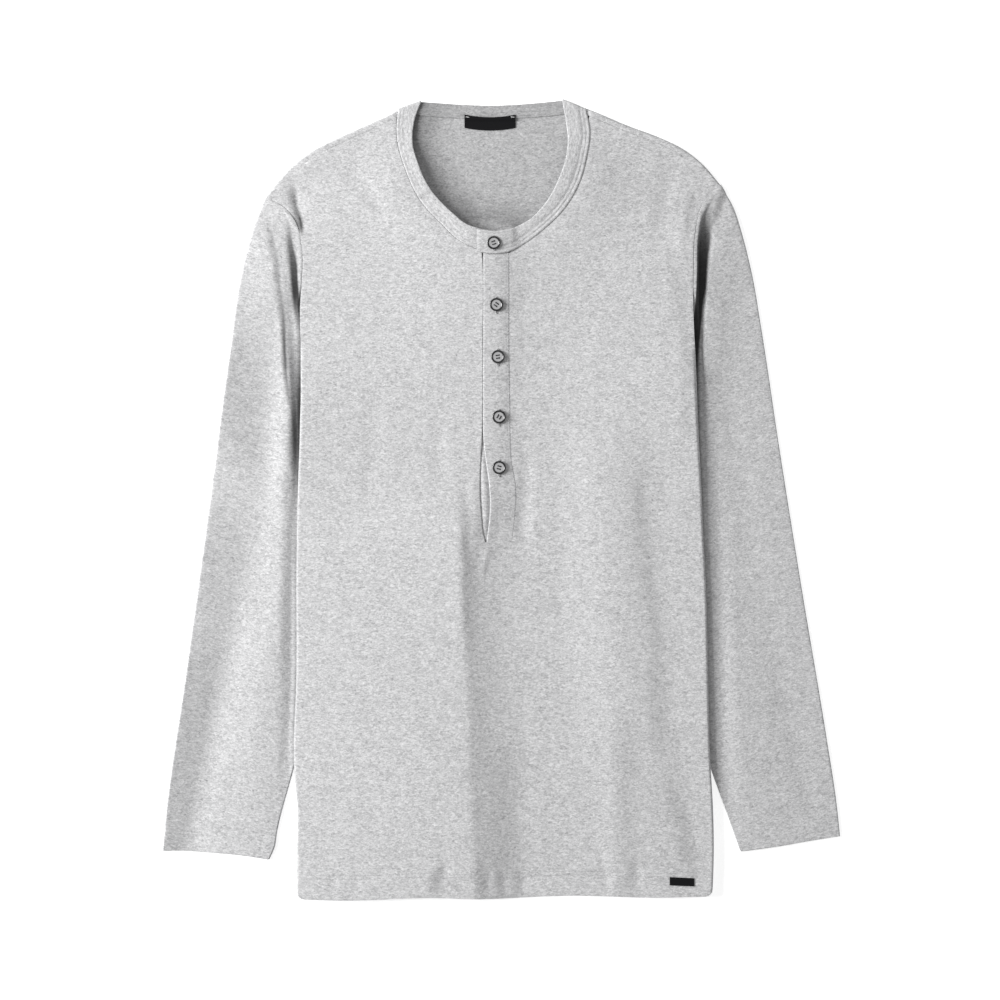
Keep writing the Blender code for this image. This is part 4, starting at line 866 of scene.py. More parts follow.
def back_sheet():
    """Back: one sheet from the hem to the neck seam, wrapped over both shoulders."""
    neck = path([row[:2] for row in BAND_BACK], even(EDGE_STEPS))
    neck = neck - normals_of(neck) * BACK_NECK_GAP
    count = round(reach_of(neck)[-1] / BACK_STEP)
    neck = resampled(neck, even(count + 1))
    shares = columns_for(SHOULDER_LENGTH, BACK_STEP)
    folds = ([SHOULDER_TIP[side], *SHOULDER[side], SHOULDER_END[side]] for side in (RIGHT, LEFT))
    right, left = (resampled(path(fold, even(EDGE_STEPS)), shares) for fold in folds)
    left = left[::-1]
    top = np.concatenate((right, neck[1:-1], left))
    u = (top[:, 0] - top[0, 0]) / (top[-1, 0] - top[0, 0])
    rows = round((EDGE[RIGHT][-1][0] - SLOT_END) / BACK_STEP)
    edges = []
    for side, corner in ((RIGHT, top[0]), (LEFT, top[-1])):
        ys = np.linspace(EDGE[side][-1][0], SLOT_END, CURVE_STEPS)
        edges.append(resampled(side_line(side, ys), even(rows + 1)))
        edges[-1][0] = corner
    outer, inner = edges
    v = (outer[0, 1] - outer[:, 1]) / (outer[0, 1] - outer[-1, 1])
    upper = coons(top, mix(outer[-1], inner[-1], u[:, None]), outer, inner, u, v)
    lower = lower_body(upper[-1, :, 0], SLOT_END, round(LOWER_LENGTH / BACK_STEP))
    sheet = Sheet()
    beyond = beyond_neck(upper[..., 0], upper[..., 1])
    inside = 1 - smooth((beyond - NECK_SHADE_FROM) / NECK_SHADE_EASE)
    shade = np.maximum(NECK_SHADE + neck_deep(upper[..., 0], upper[..., 1]), 0.0) * inside
    sheet.grid(seam_clearance(lift_to(upper, back_height), -1), WALL, hollow=shade)
    points = seam_clearance(lift_to(lower, back_height), -1)
    hem = np.abs(lower[..., 1] - lower[-1:, :, 1])
    thick = WALL * rim_taper(hem)
    points[..., 2] -= (WALL - thick) / 2 * (back_lift(lower[..., 0], lower[..., 1]) < BARELY)
    sheet.grid(points, thick, hollow=np.zeros(thick.shape))
    for side, line in ((RIGHT, right), (LEFT, left)):
        wrap = shoulder_wrap(side, line)
        sheet.grid(wrap, WALL, hollow=np.zeros(wrap.shape[:2]))
    return sheet


def neck_deep(x, y):
    """Extra shade inside the neck, falling away from the band's edge on the wearer's right. Close
    by the edge, below the shoulder, it gives way to the shadow that the band itself throws."""
    edge = band_stations(RIGHT, NECK_STEPS)[:, 2:]
    gap = np.hypot(x[..., None] - edge[:, 0], y[..., None] - edge[:, 1]).min(axis=-1)
    less = NECK_LESS * (1 - smooth(gap / NECK_LESS_EASE)) * smooth((NECK_LESS_TOP - y) / NECK_LESS_FADE)
    return NECK_DEEP * (1 - smooth(gap / NECK_DEEP_EASE)) - less


def shoulder_wrap(side, line):
    """The back carried round the shoulder's fold, a half circle, and on to the shoulder seam. Its
    end dips to pass beneath the neckband. The line runs to the wearer's left."""
    out = normals_of(line)
    angle = np.linspace(0, math.pi, SHOULDER_RINGS)[:, None]
    reach = SHOULDER_RADIUS * np.sin(angle)[..., None]
    height = ON_FLOOR + SHOULDER_RADIUS * (1 - np.cos(angle))
    rings = np.dstack((line[None] + out[None] * reach, np.tile(height, len(line))))
    inward, raised = np.array(SHOULDER_ROWS).T[..., None]
    flat = np.dstack((line[None] - out[None] * inward[..., None],
                      np.tile(SHOULDER_TOP + raised, len(line))))
    wrap = np.concatenate((rings, flat))[::-1]
    left = np.hypot(*(line - SHOULDER_END[side]).T)
    share = (wrap[..., 2] - ON_FLOOR) / (2 * SHOULDER_RADIUS)
    wrap[..., 2] -= SHOULDER_DIP * (1 - smooth(left / SHOULDER_DIP_EASE)) * share
    return wrap


# ---------------------------------------------------------------- sleeves

def sleeve_top(side, plan, s, t):
    """Middle of the upper layer's wall, and its share of painted shade: in the hollow by the armhole
    and along the outer edge.
    """
    x, y = plan[..., 0], plan[..., 1]
    base = ON_FLOOR + 2 * mix(track(OUTER_ROLL[side], t, 1), INNER_ROLL, s)
    beyond = -inside_edge(side, x, y)
    puff = track(SLEEVE_PUFF, t, 1) * np.sin(math.pi * s**PUFF_LEAN)
    for place, width, rise, start, end in SLEEVE_FOLDS[side]:
        profile = np.clip(1 - ((s - place) / width)**2, 0.0, 1.0)**2
        fade = smooth((t - start) / SLEEVE_FADE + 0.5) * smooth((end - t) / SLEEVE_FADE + 0.5)
        puff = puff + rise * profile * fade
    height = base + puff * smooth(beyond / TUCK_EASE[side])
    width, rise, floor, crest = (track(HOLLOW[side], y, k) for k in (1, 2, 3, 4))
    seam_height = ON_FLOOR + track(EDGE[side], y, 2)
    lip = mix(floor, seam_height, smooth((y - LIP_FROM) / LIP_EASE))
    foot = HOLLOW_LIP[side] + width
    risen = smooth((beyond - foot) / rise)
    fallen = smooth((beyond - HOLLOW_LIP[side]) / HOLLOW_WALL[side])
    past = (beyond - foot - rise) / HOLLOW_CREST_FALL
    height = height + crest * (1 - smooth(past))
    height = mix(lip, mix(floor, height, risen), fallen)
    tucked = np.minimum(height, mix(floor, height, smooth(beyond / TUCK_LIP)))
    # depth: share of painted shade, along the outer edge and in the hollow and valleys by the body
    depth = track(OUTER_SHADE[side], t, 1) * (1 - smooth((s - OUTER_SHADE_FULL) / OUTER_SHADE_EASE))
    for table in HOLLOW_PAINTED_SHADE[side]:
        start, end, share, soft = (track(table, y, k) for k in (1, 2, 3, 4))
        within = smooth((beyond - start) / soft + 0.5) * (1 - smooth((beyond - end) / (2 * soft) + 0.5))
        depth = np.maximum(depth, share * within)
    height = np.where(y > TUCK_BELOW, height, tucked)
    beneath = smooth(-beyond / UNDER_IN_EASE) * smooth((y - ARMHOLE_FOOT) / UNDER_UP_EASE)
    height = mix(height, np.minimum(height, UNDER_HEIGHT), beneath)
    sunk = seam_sink(np.abs(beyond), ARMHOLE_SINK, SLEEVE_SINK_WIDTH)
    return height + sunk * smooth((y - LIP_FROM) / LIP_EASE), depth


def sleeve_sheet(side):
    """A sleeve: a tube pressed flat, lower layer on the floor, from armhole to cuff."""
    t = np.concatenate([np.linspace(*row)[1:] for row in SLEEVE_ROWS])
    t = np.concatenate(([0.0], t[:-1], 1 - np.array(LAST_ROWS[1:]) / SLEEVE_LENGTH))
    mirror = np.array([side, 1.0])
    outer = path(SLEEVE_OUTER[side], t) * mirror
    inner = path(SLEEVE_INNER[side], t) * mirror
    out_normal = normals_of(outer) * side
    in_normal = normals_of(inner) * -side
    radius = track(OUTER_ROLL[side], t, 1)
    outer = outer - out_normal * (radius + WALL / 2)[:, None]
    inner = inner - in_normal * (INNER_ROLL + WALL / 2)
    cuff_line = path(CUFF[side], even(EDGE_STEPS)) * mirror
    cuff_line[0], cuff_line[-1] = outer[-1], inner[-1]
    gap = np.array([side * ARMHOLE_GAP, 0.0])

    def layer(count):
        """Plan of one layer, with this many points from its outer to its inner fold."""
        s = even(count)
        armhole = armhole_line(side, s) + gap
        above_foot = smooth((armhole[:, 1] - ARMHOLE_FOOT) / UNDER_FOOT_EASE)
        reach = UNDER_REACH * smooth((UNDER_TOP - armhole[:, 1]) / UNDER_TOP_EASE) * above_foot
        armhole[:, 0] -= side * reach
        armhole[0], armhole[-1] = outer[0], inner[0]
        plan = coons(armhole, resampled(cuff_line, s), outer, inner, s, t)
        return plan, np.broadcast_to(s, plan.shape[:2]), np.broadcast_to(t[:, None], plan.shape[:2])

    upper_plan, s, rows = layer(UPPER_COLUMNS)
    top, depth = sleeve_top(side, upper_plan, s, rows)
    upper = np.dstack((upper_plan, top))
    lower_plan, _, _ = layer(LOWER_COLUMNS)
    lower = np.dstack((lower_plan, np.full(lower_plan.shape[:2], ON_FLOOR)))

    def fold(start, end, normal):
        """Points of the turned edge between a start and an end point: half an ellipse."""
        angle = np.linspace(0, math.pi, FOLD_RINGS + 2)[1:-1][None, :, None]
        reach = np.abs(end[:, 2] - start[:, 2])[:, None, None] / 2 * np.sin(angle)
        middle = mix(start[:, None], end[:, None], (1 - np.cos(angle)) / 2)
        middle[..., :2] += normal[:, None] * reach
        return middle

    inward = fold(upper[:, -1], lower[:, -1], in_normal)
    outward = fold(lower[:, 0], upper[:, 0], out_normal)
    ring = np.concatenate((upper, inward, lower[:, ::-1], outward), axis=1)
    depth = np.concatenate((depth, np.zeros((len(t), ring.shape[1] - depth.shape[1]))), axis=1)
    if side == LEFT:
        ring, depth = ring[:, ::-1], depth[:, ::-1]
    thick = WALL * rim_taper((1 - t) * SLEEVE_LENGTH)
    thick = np.broadcast_to(thick[:, None], ring.shape[:2])
    return Sheet().grid(ring, thick, closed=True, hollow=depth)


# ---------------------------------------------------------------- neckband and placket

def band_front(side, count):
    """Seam and free edge of the band on the front, from its placket end to the shoulder fold."""
    seam_x, seam_y, free_x, free_y = band_stations(side, count).T
    out = side * seam_x
    near = 1 - smooth((out - BAND_LAP_FROM[side]) / BAND_LAP_EASE)
    height = front_height(seam_x, seam_y) + BAND_PROUD[side] + BAND_LAP[side] * near
    tilt = smooth((below_shoulder(free_x, free_y) - BAND_TILT_FROM) / BAND_TILT_EASE)
    free_height = height + BAND_TILT * tilt
    return np.column_stack((seam_x, seam_y, height)), np.column_stack((free_x, free_y, free_height))


def band_grid():
    """The band's middle surface: stations from one placket end, over both shoulders, to the
    other, by points from the seam to the free edge, before its relief."""
    seam_r, free_r = band_front(RIGHT, BAND_FRONT_STATIONS)
    seam_l, free_l = band_front(LEFT, BAND_FRONT_STATIONS)
    back = path(BAND_BACK, even(BAND_BACK_STATIONS))
    seam_b = np.column_stack((back[:, :2], np.full(len(back), BAND_BACK_LOW)))
    bulge = (BAND_BACK_HIGH - BAND_BACK_LOW) * np.sin(np.linspace(0, math.pi, len(back)))
    free_b = np.column_stack((back[:, 2:], BAND_BACK_LOW + bulge))

    def turn(seam_from, free_from, seam_to, free_to):
        """Stations round a shoulder fold between the front and the back of the band, on half an
        ellipse each for its seam and its free edge."""
        along = free_from[:2] - seam_from[:2]
        out = np.array([-along[1], along[0]]) / np.linalg.norm(along)
        out = out if out[1] > 0 else -out
        angle = np.linspace(0, math.pi, BAND_TURN_STATIONS + 2)[1:-1][:, None]
        lines = []
        for start, end, swing in zip((seam_from, free_from), (seam_to, free_to), BAND_SWING):
            points = mix(start[None], end[None], (1 - np.cos(angle)) / 2)
            points[:, :2] += out * swing * abs(end[2] - start[2]) / 2 * np.sin(angle)
            lines.append(points)
        return lines

    turn_r = turn(seam_r[-1], free_r[-1], seam_b[0], free_b[0])
    turn_l = turn(seam_b[-1], free_b[-1], seam_l[-1], free_l[-1])
    seam = np.concatenate((seam_r, turn_r[0], seam_b, turn_l[0], seam_l[::-1]))
    free = np.concatenate((free_r, turn_r[1], free_b, turn_l[1], free_l[::-1]))
    return mix(seam[:, None], free[:, None], BAND_COLUMNS[None, :, None])


def band_shares(right, back, left):
    """A value for each station of the band: one on each side of the front and one at the back,
    evened out where they meet."""
    front = BAND_FRONT_STATIONS + BAND_TURN_STATIONS // 2
    flat = np.repeat((right, back, left), (front, BAND_TURN_STATIONS + BAND_BACK_STATIONS, front))
    window = 2 * BAND_BLEND + 1
    padded = np.pad(flat.astype(float), BAND_BLEND, mode="edge")
    return np.convolve(padded, np.full(window, 1 / window), mode="valid")


def band_relief(inward):
    """Height of the band's relief at each station, this far in from its seam."""
    depth = band_shares(BAND_DEPTH[RIGHT], BAND_BACK_DEPTH, BAND_DEPTH[LEFT])[:, None]
    return track(BAND_RELIEF, inward, 1) * depth


def band_sheet():
    """The band with its relief: a rolled seam edge, two sunk rows of stitching and a crown."""
    grid = band_grid()
    width = np.linalg.norm(grid[:, -1] - grid[:, 0], axis=1)[:, None]
    inward = BAND_COLUMNS[None] * width
    along = length_along(grid[:, len(BAND_COLUMNS) // 2])
    quads = grid_quads(*grid.shape[:2])[:, FLIPPED]
    up = point_normals(grid.reshape(-1, 3), quads).reshape(grid.shape)
    raised = grid + up * band_relief(inward)[..., None]
    shade = BAND_BACK_SHADE + neck_deep(grid[..., 0], grid[..., 1]) * BAND_DEEP
    shade = band_shares(0.0, 1.0, 0.0)[:, None] * shade
    ends = np.minimum(along, along[-1] - along)[:, None]
    rim = np.minimum(np.minimum(inward, width - inward), ends)
    rows_along = np.broadcast_to(along[:, None], inward.shape)
    grain = np.dstack((rows_along, inward, np.zeros(inward.shape))) * MM
    thick = STRIP * rim_taper(rim, BAND_ROUND, STRIP_THIN)
    return Sheet().grid(raised, thick, grain=grain, hollow=shade)


def strip_sheet(left_x, right_x, ys, rise):
    """A placket strip: it follows the front's form, above or below it, with rounded edges. Its
    rise over the front goes from one value along its left half to another at its right edge."""
    upper = rise[0] > 0
    share = STRIP_COLUMNS
    x = mix(left_x[:, None], right_x[:, None], share)
    y = np.broadcast_to(ys[:, None], x.shape)
    if upper:
        seam, _ = band_front(LEFT, EDGE_STEPS)
        seam_y = np.interp(x, seam[:, 0], seam[:, 1]) - CLOSE_GAP
        y = y + (seam_y - ys[0]) * smooth((y - ys[0] + STRIP_BEND) / STRIP_BEND)
    width = (right_x - left_x)[:, None]
    from_left, from_right = share[None] * width, (1 - share[None]) * width
    from_top = np.broadcast_to(np.abs(ys - ys[0])[:, None], x.shape)
    gone = smooth((SEAM_FADE_FROM - y) / SEAM_FADE_EASE)
    rim = np.minimum(from_left, from_right + SEAM_FADE_RIM * gone * upper)
    thick = STRIP * rim_taper(np.minimum(rim, from_top), STRIP_ROUND, STRIP_THIN)
    level = mix(*rise, smooth(2 * share[None] - 1))
    if upper:
        level = mix(level, rise[1], smooth((ys[-1] + TOP_FOOT - y) / TOP_FOOT_EASE))
    sunk = seam_sink(np.abs(from_right - STRIP_SINK_IN), STRIP_SINK, STRIP_SINK_WIDTH)
    height = front_height(x, y) + level + sunk * (1 - gone)
    if upper:
        curl = smooth((TOP_CURL_FROM - y) / TOP_CURL_EASE) * (1 - smooth(share[None] / TOP_CURL_WIDE))
        curl = curl * smooth((y - ys[-1]) / TOP_CURL_FOOT)
        height = height + TOP_CURL * curl - TOP_TUCK * smooth((y - ys[0]) / TOP_TUCK_EASE + 1.0)
    else:
        left_edge, right_edge = track(SLOT, y, 1), track(PLACKET, y, 1)
        middle, half = (left_edge + right_edge) / 2, (right_edge - left_edge) / 2
        across = (x - middle) / (half + UNDER_SWELL_PAST)
        gape = smooth((right_edge - left_edge - UNDER_SWELL_FROM) / UNDER_SWELL_EASE)
        height = height + UNDER_SWELL * gape * np.clip(1 - across**2, 0, 1)**2
    return Sheet().grid(np.dstack((x, y, height)), thick)


# ---------------------------------------------------------------- threads

def capsules(starts, ends, ups, radius):
    """Short rounded threads from starts to ends: rings of points round each thread's line,
    whose radius grows from either end as a quarter ellipse does. Returns points and quads."""
    along = ends - starts
    across = np.cross(ups, along)
    across /= np.linalg.norm(across, axis=1, keepdims=True)
    over = np.cross(along, across)
    over /= np.linalg.norm(over, axis=1, keepdims=True)
    girth = THREAD_GIRTHS * radius
    angle = np.arange(THREAD_SIDES) * 2 * math.pi / THREAD_SIDES
    centre = starts[:, None, None] + along[:, None, None] * THREAD_PLACES[None, :, None, None]
    ring = (across[:, None, None] * np.cos(angle)[None, None, :, None]
            + over[:, None, None] * np.sin(angle)[None, None, :, None])
    points = centre + ring * girth[None, :, None, None]
    rings = len(THREAD_PLACES)
    side_quads = grid_quads(rings, THREAD_SIDES, closed=True)[:, FLIPPED]
    last = THREAD_END + (rings - 1) * THREAD_SIDES
    quads = np.concatenate((side_quads, THREAD_END[:, FLIPPED], last))
    offset = np.arange(len(starts))[:, None, None] * rings * THREAD_SIDES
    return points.reshape(-1, 3), (quads[None] + offset).reshape(-1, 4)


def stitch_row(line, ups, length, gap, radius):
    """A row of stitches along a line of points in space, each stitch on its chord."""
    reach = length_along(line)
    count = int(reach[-1] // (length + gap))
    begin = np.arange(count) * (length + gap) + gap / 2
    at = [np.column_stack([np.interp(begin + extra, reach, line[:, k]) for k in range(3)])
          for extra in (0.0, length)]
    up = np.column_stack([np.interp(begin, reach, ups[:, k]) for k in range(3)])
    return capsules(at[0], at[1], up, radius)


def gather(parts):
    """Several sets of points and quads as one."""
    points, quads, count = [], [], 0
    for more_points, more_quads in parts:
        points.append(more_points)
        quads.append(more_quads + count)
        count += len(more_points)
    return np.concatenate(points), np.concatenate(quads)


# ---------------------------------------------------------------- materials

def toned(colour, share):
    """A darker or paler colour: each part of it times a share, up to 1."""
    return tuple(min(1.0, part * share) for part in colour)


class Value:
    """A number that varies over a surface: arithmetic on it adds the shader's own Math nodes."""

    def __init__(self, shader, socket):
        self.shader, self.socket = shader, socket

    def _math(self, operation, other, clamp=False):
        made = self.shader.node("ShaderNodeMath", {"operation": operation, "use_clamp": clamp},
                                {0: self, 1: other})
        return Value(self.shader, made.outputs[0])

    def __add__(self, other):
        return self._math("ADD", other)

    def __sub__(self, other):
        return self._math("SUBTRACT", other)

    def __mul__(self, other):
        return self._math("MULTIPLY", other)

    def clamped(self):
        """The same value, kept between 0 and 1."""
        return self._math("ADD", 0.0, clamp=True)


class Shader:
    """A material and the one way in which nodes are added to it."""

    def __init__(self, name):
        self.material = bpy.data.materials.new(name)
        self.material.use_nodes = True
        self.tree = self.material.node_tree
        self.surface = self.tree.nodes["Principled BSDF"]

    def node(self, kind, settings=None, inputs=None):
        """Add a node: its type, its settings, then the values or links of its sockets."""
        made = self.tree.nodes.new(kind)
        for key, value in (settings or {}).items():
            setattr(made, key, value)
        self.feed(made, inputs or {})
        return made

    def feed(self, made, inputs):
        """Set or link a node's sockets."""
        for key, value in inputs.items():
            socket = made.inputs[key]
            if isinstance(value, Value):
                self.tree.links.new(value.socket, socket)
            elif isinstance(value, bpy.types.NodeSocket):
                self.tree.links.new(value, socket)
            else:
                socket.default_value = value

    def place(self, *scale):
        """Object coordinates scaled along each axis."""
        where = self.node("ShaderNodeTexCoord").outputs["Object"]
        return self.mapped(where, scale)

    def mapped(self, vector, scale, turn=0.0):
        """Coordinates turned about Z and then scaled along each axis."""
        turned = self.node("ShaderNodeMapping", {"vector_type": "POINT"},
                           {"Vector": vector, "Rotation": (0.0, 0.0, turn)}).outputs[0]
        return self.node("ShaderNodeVectorMath", {"operation": "MULTIPLY"},
                         {0: turned, 1: scale}).outputs[0]

    def noise(self, vector, detail, roughness, distortion=0.0):
        made = self.node("ShaderNodeTexNoise", {"noise_dimensions": "3D"},
                         {"Vector": vector, "Scale": 1.0, "Detail": detail, "Roughness": roughness,
                          "Distortion": distortion})
        return Value(self, made.outputs["Fac"])

    def blend(self, share, first, second):
        """A colour between two colours."""
        first, second = ((*c, 1.0) if isinstance(c, tuple) else c for c in (first, second))
        made = self.node("ShaderNodeMix", {"data_type": "RGBA"}, {0: share, 6: first, 7: second})
        return made.outputs[2]

    def bump(self, height, strength, distance):
        """Relief of the surface, its distance in metres."""
        made = self.node("ShaderNodeBump", None,
                         {"Height": height, "Strength": strength, "Distance": distance})
        self.feed(self.surface, {"Normal": made.outputs[0]})

    def attribute(self, name):
        return self.node("ShaderNodeAttribute", {"attribute_name": name})


# the jersey's flecks, fine flecks and clouds: scale along the rows and across them as a share of
# the flecks', detail, roughness, distortion
JERSEY_NOISE = [(1.0, 1.0, 2.0, 0.55, 0.9), (2.2, 1.9, 1.0, 0.5, 0.4), (0.28, 0.20, 2.0, 0.5, 0.0)]
FINE_SHARE, CLOUD_SHARE = 0.5, 0.25     # how far the fine flecks and the clouds stand out
PAINTED_SHADE_DEPTH, PAINTED_SHADE_COLOUR = 0.97, 0.04    # share of the shade, its share of the dark yarn


def jersey(name, turn=0.0, grain=False, hollow=False):
    """Heather jersey: short pale and dark flecks along the knitted rows, over soft clouds of
    tone, with a fine uneven relief. The rows follow the piece, turned with it. Where asked,
    it is darkened towards near black by painted shade that its points carry."""
    cloth = bpy.context.scene.henley_cloth
    shader = Shader(name)
    if grain:
        where = shader.attribute("grain").outputs["Vector"]
    else:
        where = shader.node("ShaderNodeTexCoord").outputs["Object"]
    row, wale = 1.0 / cloth.fleck_length, 1.0 / cloth.fleck_height
    fleck, fine, cloud = (
        shader.noise(shader.mapped(where, (row * length, wale * height, wale * height), turn), *rest)
        for length, height, *rest in JERSEY_NOISE)
    tone = (fleck - 0.5) * cloth.fleck_contrast + (fine - 0.5) * (cloth.fleck_contrast * FINE_SHARE)
    tone = (tone + (cloud - 0.5) * CLOUD_SHARE + 0.5).clamped()
    colour = shader.blend(tone, tuple(cloth.dark_yarn), tuple(cloth.pale_yarn))
    # painted shade: darken towards near black by the points' share, in hollows, creases, the neck and lit
    # edges
    if hollow:
        deep = Value(shader, shader.attribute("hollow").outputs["Fac"])
        colour = shader.blend(deep * PAINTED_SHADE_DEPTH, colour, toned(cloth.dark_yarn, PAINTED_SHADE_COLOUR))
    shader.feed(shader.surface, {"Base Color": colour, "Roughness": cloth.roughness,
                                 "Specular IOR Level": 0.2, "Sheen Weight": cloth.sheen,
                                 "Sheen Roughness": 0.5})
    shader.bump(fleck * 0.7 + fine * 0.3, strength=0.35, distance=0.0006)
    return shader.material


def thread_material(name, colour):
    """Twisted cotton thread: a matt colour that varies a little along it."""
    shader = Shader(name)
    twist = shader.noise(shader.place(900.0, 900.0, 900.0), detail=2.0, roughness=0.6)
    tint = shader.blend(twist, toned(colour, 0.8), toned(colour, 1.2))
    shader.feed(shader.surface, {"Base Color": tint, "Roughness": 0.8})
    shader.bump(twist, strength=0.4, distance=0.0002)
    return shader.material


def button_material():
    """Pearly grey button: a cloudy pale face inside a dark polished rim."""
    trim = bpy.context.scene.henley_trim
    shader = Shader("pearl_button")
    ring = Value(shader, shader.attribute("ring").outputs["Fac"])
    cloud = shader.noise(shader.place(300.0, 180.0, 300.0), detail=3.0, roughness=0.6, distortion=1.5)
    face = shader.blend(cloud, toned(trim.button_face, 0.72), tuple(trim.button_face))
    dark = ((ring - BUTTON_RIM_FROM) * BUTTON_RIM_CRISP).clamped()
    shader.feed(shader.surface, {"Base Color": shader.blend(dark, face, tuple(trim.button_rim)),
                                 "Roughness": 0.24, "Coat Weight": 0.25, "Coat Roughness": 0.12})
    shader.bump(cloud, strength=0.15, distance=0.0002)
    return shader.material


def label_material():
    """Black satin label: fine woven ribs along its length."""
    trim = bpy.context.scene.henley_trim
    shader = Shader("black_label")
    where = shader.place(1.0, 1.0, 1.0)
    rib = shader.node("ShaderNodeTexWave", {"wave_type": "BANDS", "bands_direction": "Y"},
                      {"Vector": where, "Scale": 260.0, "Distortion": 0.6, "Detail": 1.0})
    weave = shader.noise(shader.place(700.0, 2500.0, 2500.0), detail=2.0, roughness=0.5)
    tint = shader.blend(weave, tuple(trim.label_colour), toned(trim.label_colour, 2.2))
    shader.feed(shader.surface, {"Base Color": tint, "Roughness": 0.9, "Specular IOR Level": 0.12})
    shader.bump(rib.outputs["Fac"], strength=0.25, distance=0.00015)
    return shader.material


# ---------------------------------------------------------------- sizes and colours to change

class HenleyCloth(bpy.types.PropertyGroup):
    pale_yarn: bpy.props.FloatVectorProperty(
        name="Pale yarn", description="Colour of the palest flecks of the jersey", subtype="COLOR",
        size=3, min=0.0, max=1.0, default=(0.70, 0.70, 0.705))
    dark_yarn: bpy.props.FloatVectorProperty(
        name="Dark yarn", description="Colour of the darkest flecks of the jersey", subtype="COLOR",
        size=3, min=0.0, max=1.0, default=(0.235, 0.235, 0.24))
    fleck_length: bpy.props.FloatProperty(
        name="Fleck length", description="Length of a fleck along the knitted rows", unit="LENGTH",
        default=0.0034, min=0.001, max=0.02)
    fleck_height: bpy.props.FloatProperty(
        name="Fleck height", description="Height of a fleck across the knitted rows", unit="LENGTH",
        default=0.0017, min=0.0005, max=0.01)
    fleck_contrast: bpy.props.FloatProperty(
        name="Fleck contrast", description="How far the flecks stand out", default=1.35, min=0.0,
        max=4.0)
    roughness: bpy.props.FloatProperty(
        name="Roughness", description="Roughness of the jersey", subtype="FACTOR", default=0.95,
        min=0.0, max=1.0)
    sheen: bpy.props.FloatProperty(
        name="Fuzz", description="Strength of the soft fuzz on the jersey", subtype="FACTOR",
        default=0.05, min=0.0, max=1.0)


class HenleyTrim(bpy.types.PropertyGroup):
    button_face: bpy.props.FloatVectorProperty(
        name="Button face", description="Colour of the pearly face of a button", subtype="COLOR",
        size=3, min=0.0, max=1.0, default=(0.40, 0.40, 0.405))
    button_rim: bpy.props.FloatVectorProperty(
        name="Button rim", description="Colour of the dark rim of a button", subtype="COLOR",
        size=3, min=0.0, max=1.0, default=(0.012, 0.012, 0.013))
    label_colour: bpy.props.FloatVectorProperty(
        name="Label", description="Colour of the bare woven labels", subtype="COLOR", size=3,
        min=0.0, max=1.0, default=(0.004, 0.004, 0.0045))
    thread_colour: bpy.props.FloatVectorProperty(
        name="Thread", description="Colour of the sewing thread", subtype="COLOR", size=3,
        min=0.0, max=1.0, default=(0.40, 0.40, 0.405))
    stitch_length: bpy.props.FloatProperty(
        name="Stitch", description="Length of one stitch", unit="LENGTH", default=0.0024,
        min=0.001, max=0.01)
    stitch_gap: bpy.props.FloatProperty(
        name="Stitch gap", description="Space from one stitch to the next", unit="LENGTH",
        default=0.0006, min=0.0001, max=0.01)
    thread_radius: bpy.props.FloatProperty(
        name="Thread radius", description="Radius of the sewing thread", unit="LENGTH",
        default=0.0002, min=0.00005, max=0.001)


class HenleyStage(bpy.types.PropertyGroup):
    floor_colour: bpy.props.FloatVectorProperty(
        name="Floor", description="Colour of the floor", subtype="COLOR", size=3, min=0.0,
        max=1.0, default=(0.93, 0.93, 0.93))
    key_power: bpy.props.FloatProperty(
        name="Key light", description="Power of the large soft light at the shirt's right sleeve",
        unit="POWER", default=200.0, min=0.0, max=10000.0)
    key_height: bpy.props.FloatProperty(
        name="Key height", description="Angle of the key light above the floor", unit="ROTATION",
        default=math.radians(28.0), min=0.0, max=math.radians(90.0))
    key_turn: bpy.props.FloatProperty(
        name="Key turn", description="How far the key light stands round towards the neck",
        unit="ROTATION", default=math.radians(12.0), min=-math.pi, max=math.pi)
    key_distance: bpy.props.FloatProperty(
        name="Key distance", description="Distance of the key light", unit="LENGTH", default=3.2,
        min=1.0, max=20.0)
    fill: bpy.props.FloatProperty(
        name="Fill", description="Strength of the even light from all round", default=0.43,
        min=0.0, max=5.0)
    glow: bpy.props.FloatProperty(
        name="Floor glow", description="Strength of the light that the floor gives off itself",
        default=0.55, min=0.0, max=2.0)
    camera_height: bpy.props.FloatProperty(
        name="Camera height", description="Height of the camera above the shirt", unit="LENGTH",
        default=2.64, min=0.5, max=20.0)


# ---------------------------------------------------------------- operators

def declare(node):
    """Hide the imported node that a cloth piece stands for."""
    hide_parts(node)


def threads(name, parts, colour, finish=None):
    """Sets of threads as one piece, of one colour."""
    points, quads = gather(parts)
    piece = add_piece(name, points, quads.tolist(), thread_material(finish or name + "_thread", colour))


def stitches(name, rows):
    """Rows of stitches as one piece: each row is a line of points and the way up along it."""
    trim = bpy.context.scene.henley_trim
    length, gap, radius = (v / MM for v in (trim.stitch_length, trim.stitch_gap, trim.thread_radius))
    parts = [stitch_row(line, up, length, gap, radius) for line, up in rows]
    threads(name, parts, tuple(trim.thread_colour))


def on_front(x, y, rise):
    """A line on the front's outer face, raised by a little, and the way up along it."""
    x, y = np.broadcast_arrays(np.asarray(x, float), np.asarray(y, float))
    line = np.column_stack((x, y, front_height(x, y) + rise))
    return line, np.broadcast_to(UP, line.shape)


class HENLEY_OT_back(bpy.types.Operator):
    """Back panel, with its shoulder wraps"""
    bl_idname = "henley.back"
    bl_label = "Back"

    def execute(self, context):
        piece = wall("back_jersey", back_sheet(), jersey("grey_jersey_back", hollow=True))
        declare("back_panel")
        return {"FINISHED"}


